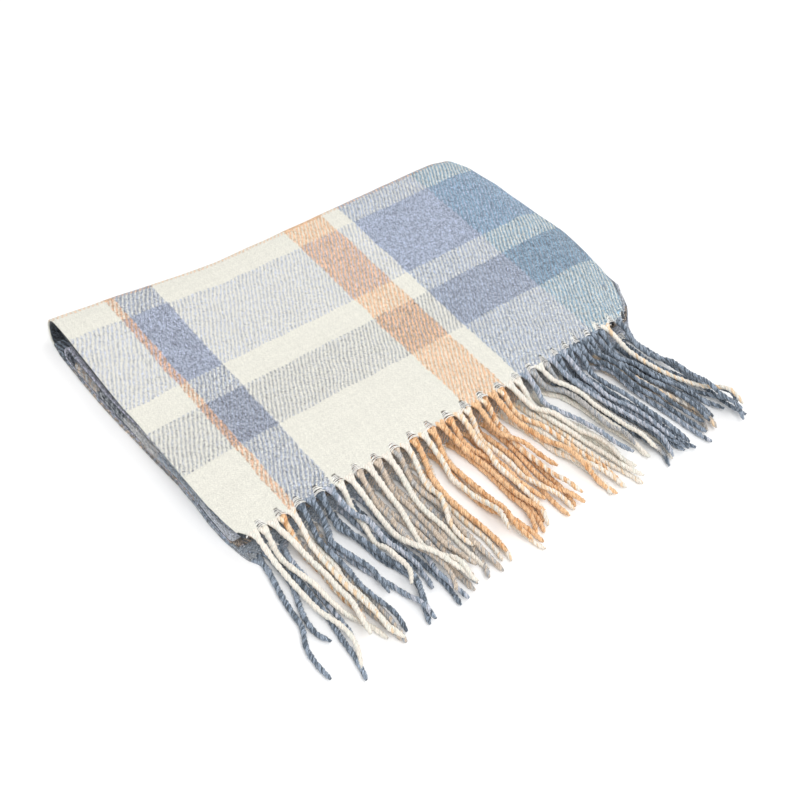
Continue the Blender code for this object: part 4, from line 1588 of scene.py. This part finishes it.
UPPER_FACE_COLOURS = rows(
    Stretch, (30.0, Cord.CREAM), (40.0, Cord.BLUSH, Cord.CREAM), (55.0, Cord.STEEL),
    (70.0, Cord.DENIM), (115.0, Cord.CREAM), (145.0, Cord.CREAM, Cord.BLUSH),
    (155.0, Cord.PEACH), (170.0, Cord.BLUSH), (200.0, Cord.PEACH), (215.0, Cord.CREAM),
    (230.0, Cord.DENIM), (245.0, Cord.CREAM), (272.0, Cord.DENIM), (315.0, Cord.STEEL),
    (330.0, Cord.BLUSH, Cord.CREAM), (345.0, Cord.STEEL),
)
# The upper underside row lies under the face row. Its taupe stretch behind the cream face cords is
# partly painted shade: a darker cord than the cream there, so that the gaps under the face row look
# dark.
UPPER_UNDERSIDE_COLOURS = rows(
    Stretch, (20.0, Cord.CREAM), (35.0, Cord.PEACH, Cord.BLUSH), (65.0, Cord.STEEL, Cord.NAVY),
    (80.0, Cord.CREAM), (122.0, Cord.TAUPE), (165.0, Cord.PEACH), (180.0, Cord.BLUSH),
    (208.0, Cord.PEACH, Cord.BLUSH), (222.0, Cord.CREAM), (250.0, Cord.GREY),
    (345.0, Cord.STEEL, Cord.NAVY),
)
LOWER_FACE_COLOURS = rows(
    Stretch, (14.0, Cord.STEEL), (28.0, Cord.DENIM, Cord.STEEL), (36.0, Cord.STEEL),
    (50.0, Cord.CREAM), (90.0, Cord.STEEL, Cord.DENIM), (120.0, Cord.TAUPE, Cord.GREY),
    (135.0, Cord.CREAM, Cord.BLUSH), (195.0, Cord.PEACH), (225.0, Cord.CREAM, Cord.BLUSH),
    (256.0, Cord.CREAM), (284.0, Cord.STEEL, Cord.DENIM), (300.0, Cord.BLUSH, Cord.TAUPE),
    (345.0, Cord.STEEL),
)
LOWER_UNDERSIDE_COLOURS = rows(
    Stretch, (30.0, Cord.STEEL), (50.0, Cord.TAUPE, Cord.GREY), (85.0, Cord.STEEL, Cord.NAVY),
    (125.0, Cord.TAUPE), (155.0, Cord.BLUSH), (205.0, Cord.PEACH), (240.0, Cord.CREAM),
    (290.0, Cord.STEEL, Cord.NAVY), (310.0, Cord.TAUPE), (345.0, Cord.NAVY, Cord.STEEL),
)

# The rows, the lowest first.
FRINGE = (
    TasselRow("lower_underside", edge=-LOWER_END_REACH, height=0.00065, tassels=TASSELS,
              stagger=-0.22, fall=0.014, seed=11, falls=LOWER_FALLS,
              colours=LOWER_UNDERSIDE_COLOURS),
    TasselRow("lower_face", edge=-LOWER_END_REACH, height=0.00185, tassels=TASSELS,
              stagger=0.25, fall=0.018, seed=23, falls=LOWER_FALLS,
              colours=LOWER_FACE_COLOURS),
    TasselRow("upper_underside", edge=0.0, height=0.01725, tassels=TASSELS - 2,
              stagger=0.5, fall=0.022, seed=37, falls=UPPER_FALLS,
              colours=UPPER_UNDERSIDE_COLOURS),
    TasselRow("upper_face", edge=0.0, height=0.01845, tassels=TASSELS,
              stagger=0.0, fall=0.038, seed=41, falls=UPPER_FALLS,
              colours=UPPER_FACE_COLOURS),
)

OUTER = FoldedCloth(
    name="outer_cloth", node="outer_wrap", top=PAD_HEIGHT, low=0.0, front=0.0,
    lower_front=-LOWER_END_REACH, back=PAD_DEPTH, radius=PAD_HEIGHT / 2.0, left=0.0,
    right_inset=0.0, sag=0.0, row_step=0.0034, staggers=(-0.22, 0.25, 0.5, 0.0),
    selvedge_slips=(0.0003, 0.0005),
)
SECOND = FoldedCloth(
    name="second_cloth", node="second_wrap", top=0.0164, low=0.0026, front=0.0040,
    lower_front=0.0040, back=0.184, radius=0.0052, left=0.0008, right_inset=0.0024, sag=0.0034,
    row_step=0.0060, staggers=(0.1, 0.6, 0.2, 0.7), selvedge_slips=(0.0003, 0.0004),
)

# ---------------------------------------------------------------- studio


@dataclass
class Studio:
    """White ground, large soft lights and a camera that looks down on the pad."""

    camera_place: Point = (-0.2437 - MIDDLE[0], -0.4066 - MIDDLE[1], 0.6653)
    pitch: float = 0.8386
    roll: float = 0.0821
    yaw: float = 0.7247
    lens: float = 62.0
    sky: float = 0.76
    lamp_size: float = 1.5
    lamps: tuple[tuple[str, Point, float], ...] = (
        ("key", (-0.3, -1.3, 2.0), 30.4), ("fill", (1.2, 0.6, 1.8), 8.0))

    def floor(self) -> None:
        """Lay the white ground."""
        mesh = bpy.data.meshes.new("ground")
        mesh.from_pydata([(-6, -6, 0), (6, -6, 0), (6, 6, 0), (-6, 6, 0)], [], [(0, 1, 2, 3)])
        mesh.materials.append(MattPaper().material())
        ground = bpy.data.objects.new("ground", mesh)
        bpy.context.scene.collection.objects.link(ground)

    def lights(self) -> None:
        """Fill the surroundings with even white light, and hang the soft lights in watts."""
        world = bpy.data.worlds.new("soft_white")
        world.use_nodes = True
        world.node_tree.nodes.clear()
        grow(world.node_tree, [("sky", "Background.", (1.0, 1.0, 1.0, 1.0), self.sky),
                               ("world", "OutputWorld.", "sky")])
        bpy.context.scene.world = world
        for name, place, power in self.lamps:
            lamp = bpy.data.lights.new(name, "AREA")
            lamp.shape, lamp.size, lamp.energy = "SQUARE", self.lamp_size, power
            thing = bpy.data.objects.new(name, lamp)
            thing.location = place
            thing.rotation_mode = "QUATERNION"
            thing.rotation_quaternion = (-Vector(place)).to_track_quat("-Z", "Y")
            bpy.context.scene.collection.objects.link(thing)

    def camera(self) -> None:
        """Set up the camera."""
        sin, cos = math.sin, math.cos
        forward = Vector((sin(self.yaw) * cos(self.pitch), cos(self.yaw) * cos(self.pitch),
                          -sin(self.pitch)))
        level = Vector((cos(self.yaw), -sin(self.yaw), 0.0))
        above = level.cross(forward)
        right = cos(self.roll) * level + sin(self.roll) * above
        up = cos(self.roll) * above - sin(self.roll) * level
        data = bpy.data.cameras.new("camera")
        data.lens, data.sensor_width = self.lens, 36.0
        data.clip_start, data.clip_end = 0.01, 30.0
        camera = bpy.data.objects.new("camera", data)
        turned = Matrix((right, up, -forward)).transposed().to_4x4()
        camera.matrix_world = Matrix.Translation(self.camera_place) @ turned
        bpy.context.scene.collection.objects.link(camera)
        bpy.context.scene.camera = camera

    def build(self) -> None:
        """Set up everything round the pad."""
        self.floor()
        self.lights()
        self.camera()
        bpy.context.scene.view_settings.view_transform = "Standard"
        bpy.context.scene.view_settings.look = "None"


def dress(piece: bpy.types.Object, node: str | None = None) -> bpy.types.Object:
    """Tie a piece to the part and report it.

    Args:
        piece: The piece.
        node: The node that it stands for, if any.

    Returns:
        The piece.
    """
    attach(piece, "root")
    if node is not None:
        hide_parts(node)
    triangles = sum(len(face.vertices) - 2 for face in piece.data.polygons)
    log.info("%s: %d triangles", piece.name, triangles)
    return piece


def main() -> None:
    """Build the scarf and its surroundings, and report each piece."""
    logging.basicConfig(level=logging.INFO, format="%(name)s %(message)s")
    Studio().build()

    # What lies in the folds is seen aslant, where the warp closes less over the weft.
    face = BrushedAcrylicTwill("brushed_acrylic_twill").material()
    turned, lower, middle, side = (
        BrushedAcrylicTwill("brushed_acrylic_twill_" + name, warp, weft, closing=0.30).material()
        for name, warp, weft in (
            ("turned_in", TURNED_WARP, TURNED_WEFT), ("lower_end", LOWER_WARP, LOWER_WEFT),
            ("second", SECOND_WARP, SECOND_WEFT), ("side", SIDE_WARP, SIDE_WEFT))
    )
    outer = dress(OUTER.mesh([face, turned, lower]), OUTER.node)
    second = dress(SECOND.mesh([middle, middle, middle]), SECOND.node)
    inner_cloth = InnerCloth()
    inner = dress(inner_cloth.mesh(side), inner_cloth.node)

    yarns = [PliedAcrylicYarn("plied_acrylic_yarn_" + cord.name.lower(), *cord.value).material()
             for cord in CORDS]
    # The bare wefts are the cream weft drawn in PALE, whiter than in the weave, as a painted
    # highlight on the thin arcs.
    weft_yarn = PliedAcrylicYarn("acrylic_weft_yarn", Yarn.PALE, Yarn.PALE, singles=1).material()
    for row, routes in zip(FRINGE, FringeLaying().lay_all(FRINGE)):
        dress(row.mesh(routes, yarns), "fringe_" + row.name)
        dress(BareWefts(row).mesh(weft_yarn))

    run = OUTER.path()[0].from_lower_edge
    run = SECOND.path()[0].from_lower_edge

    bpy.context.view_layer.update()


if __name__ == "__main__":
    main()
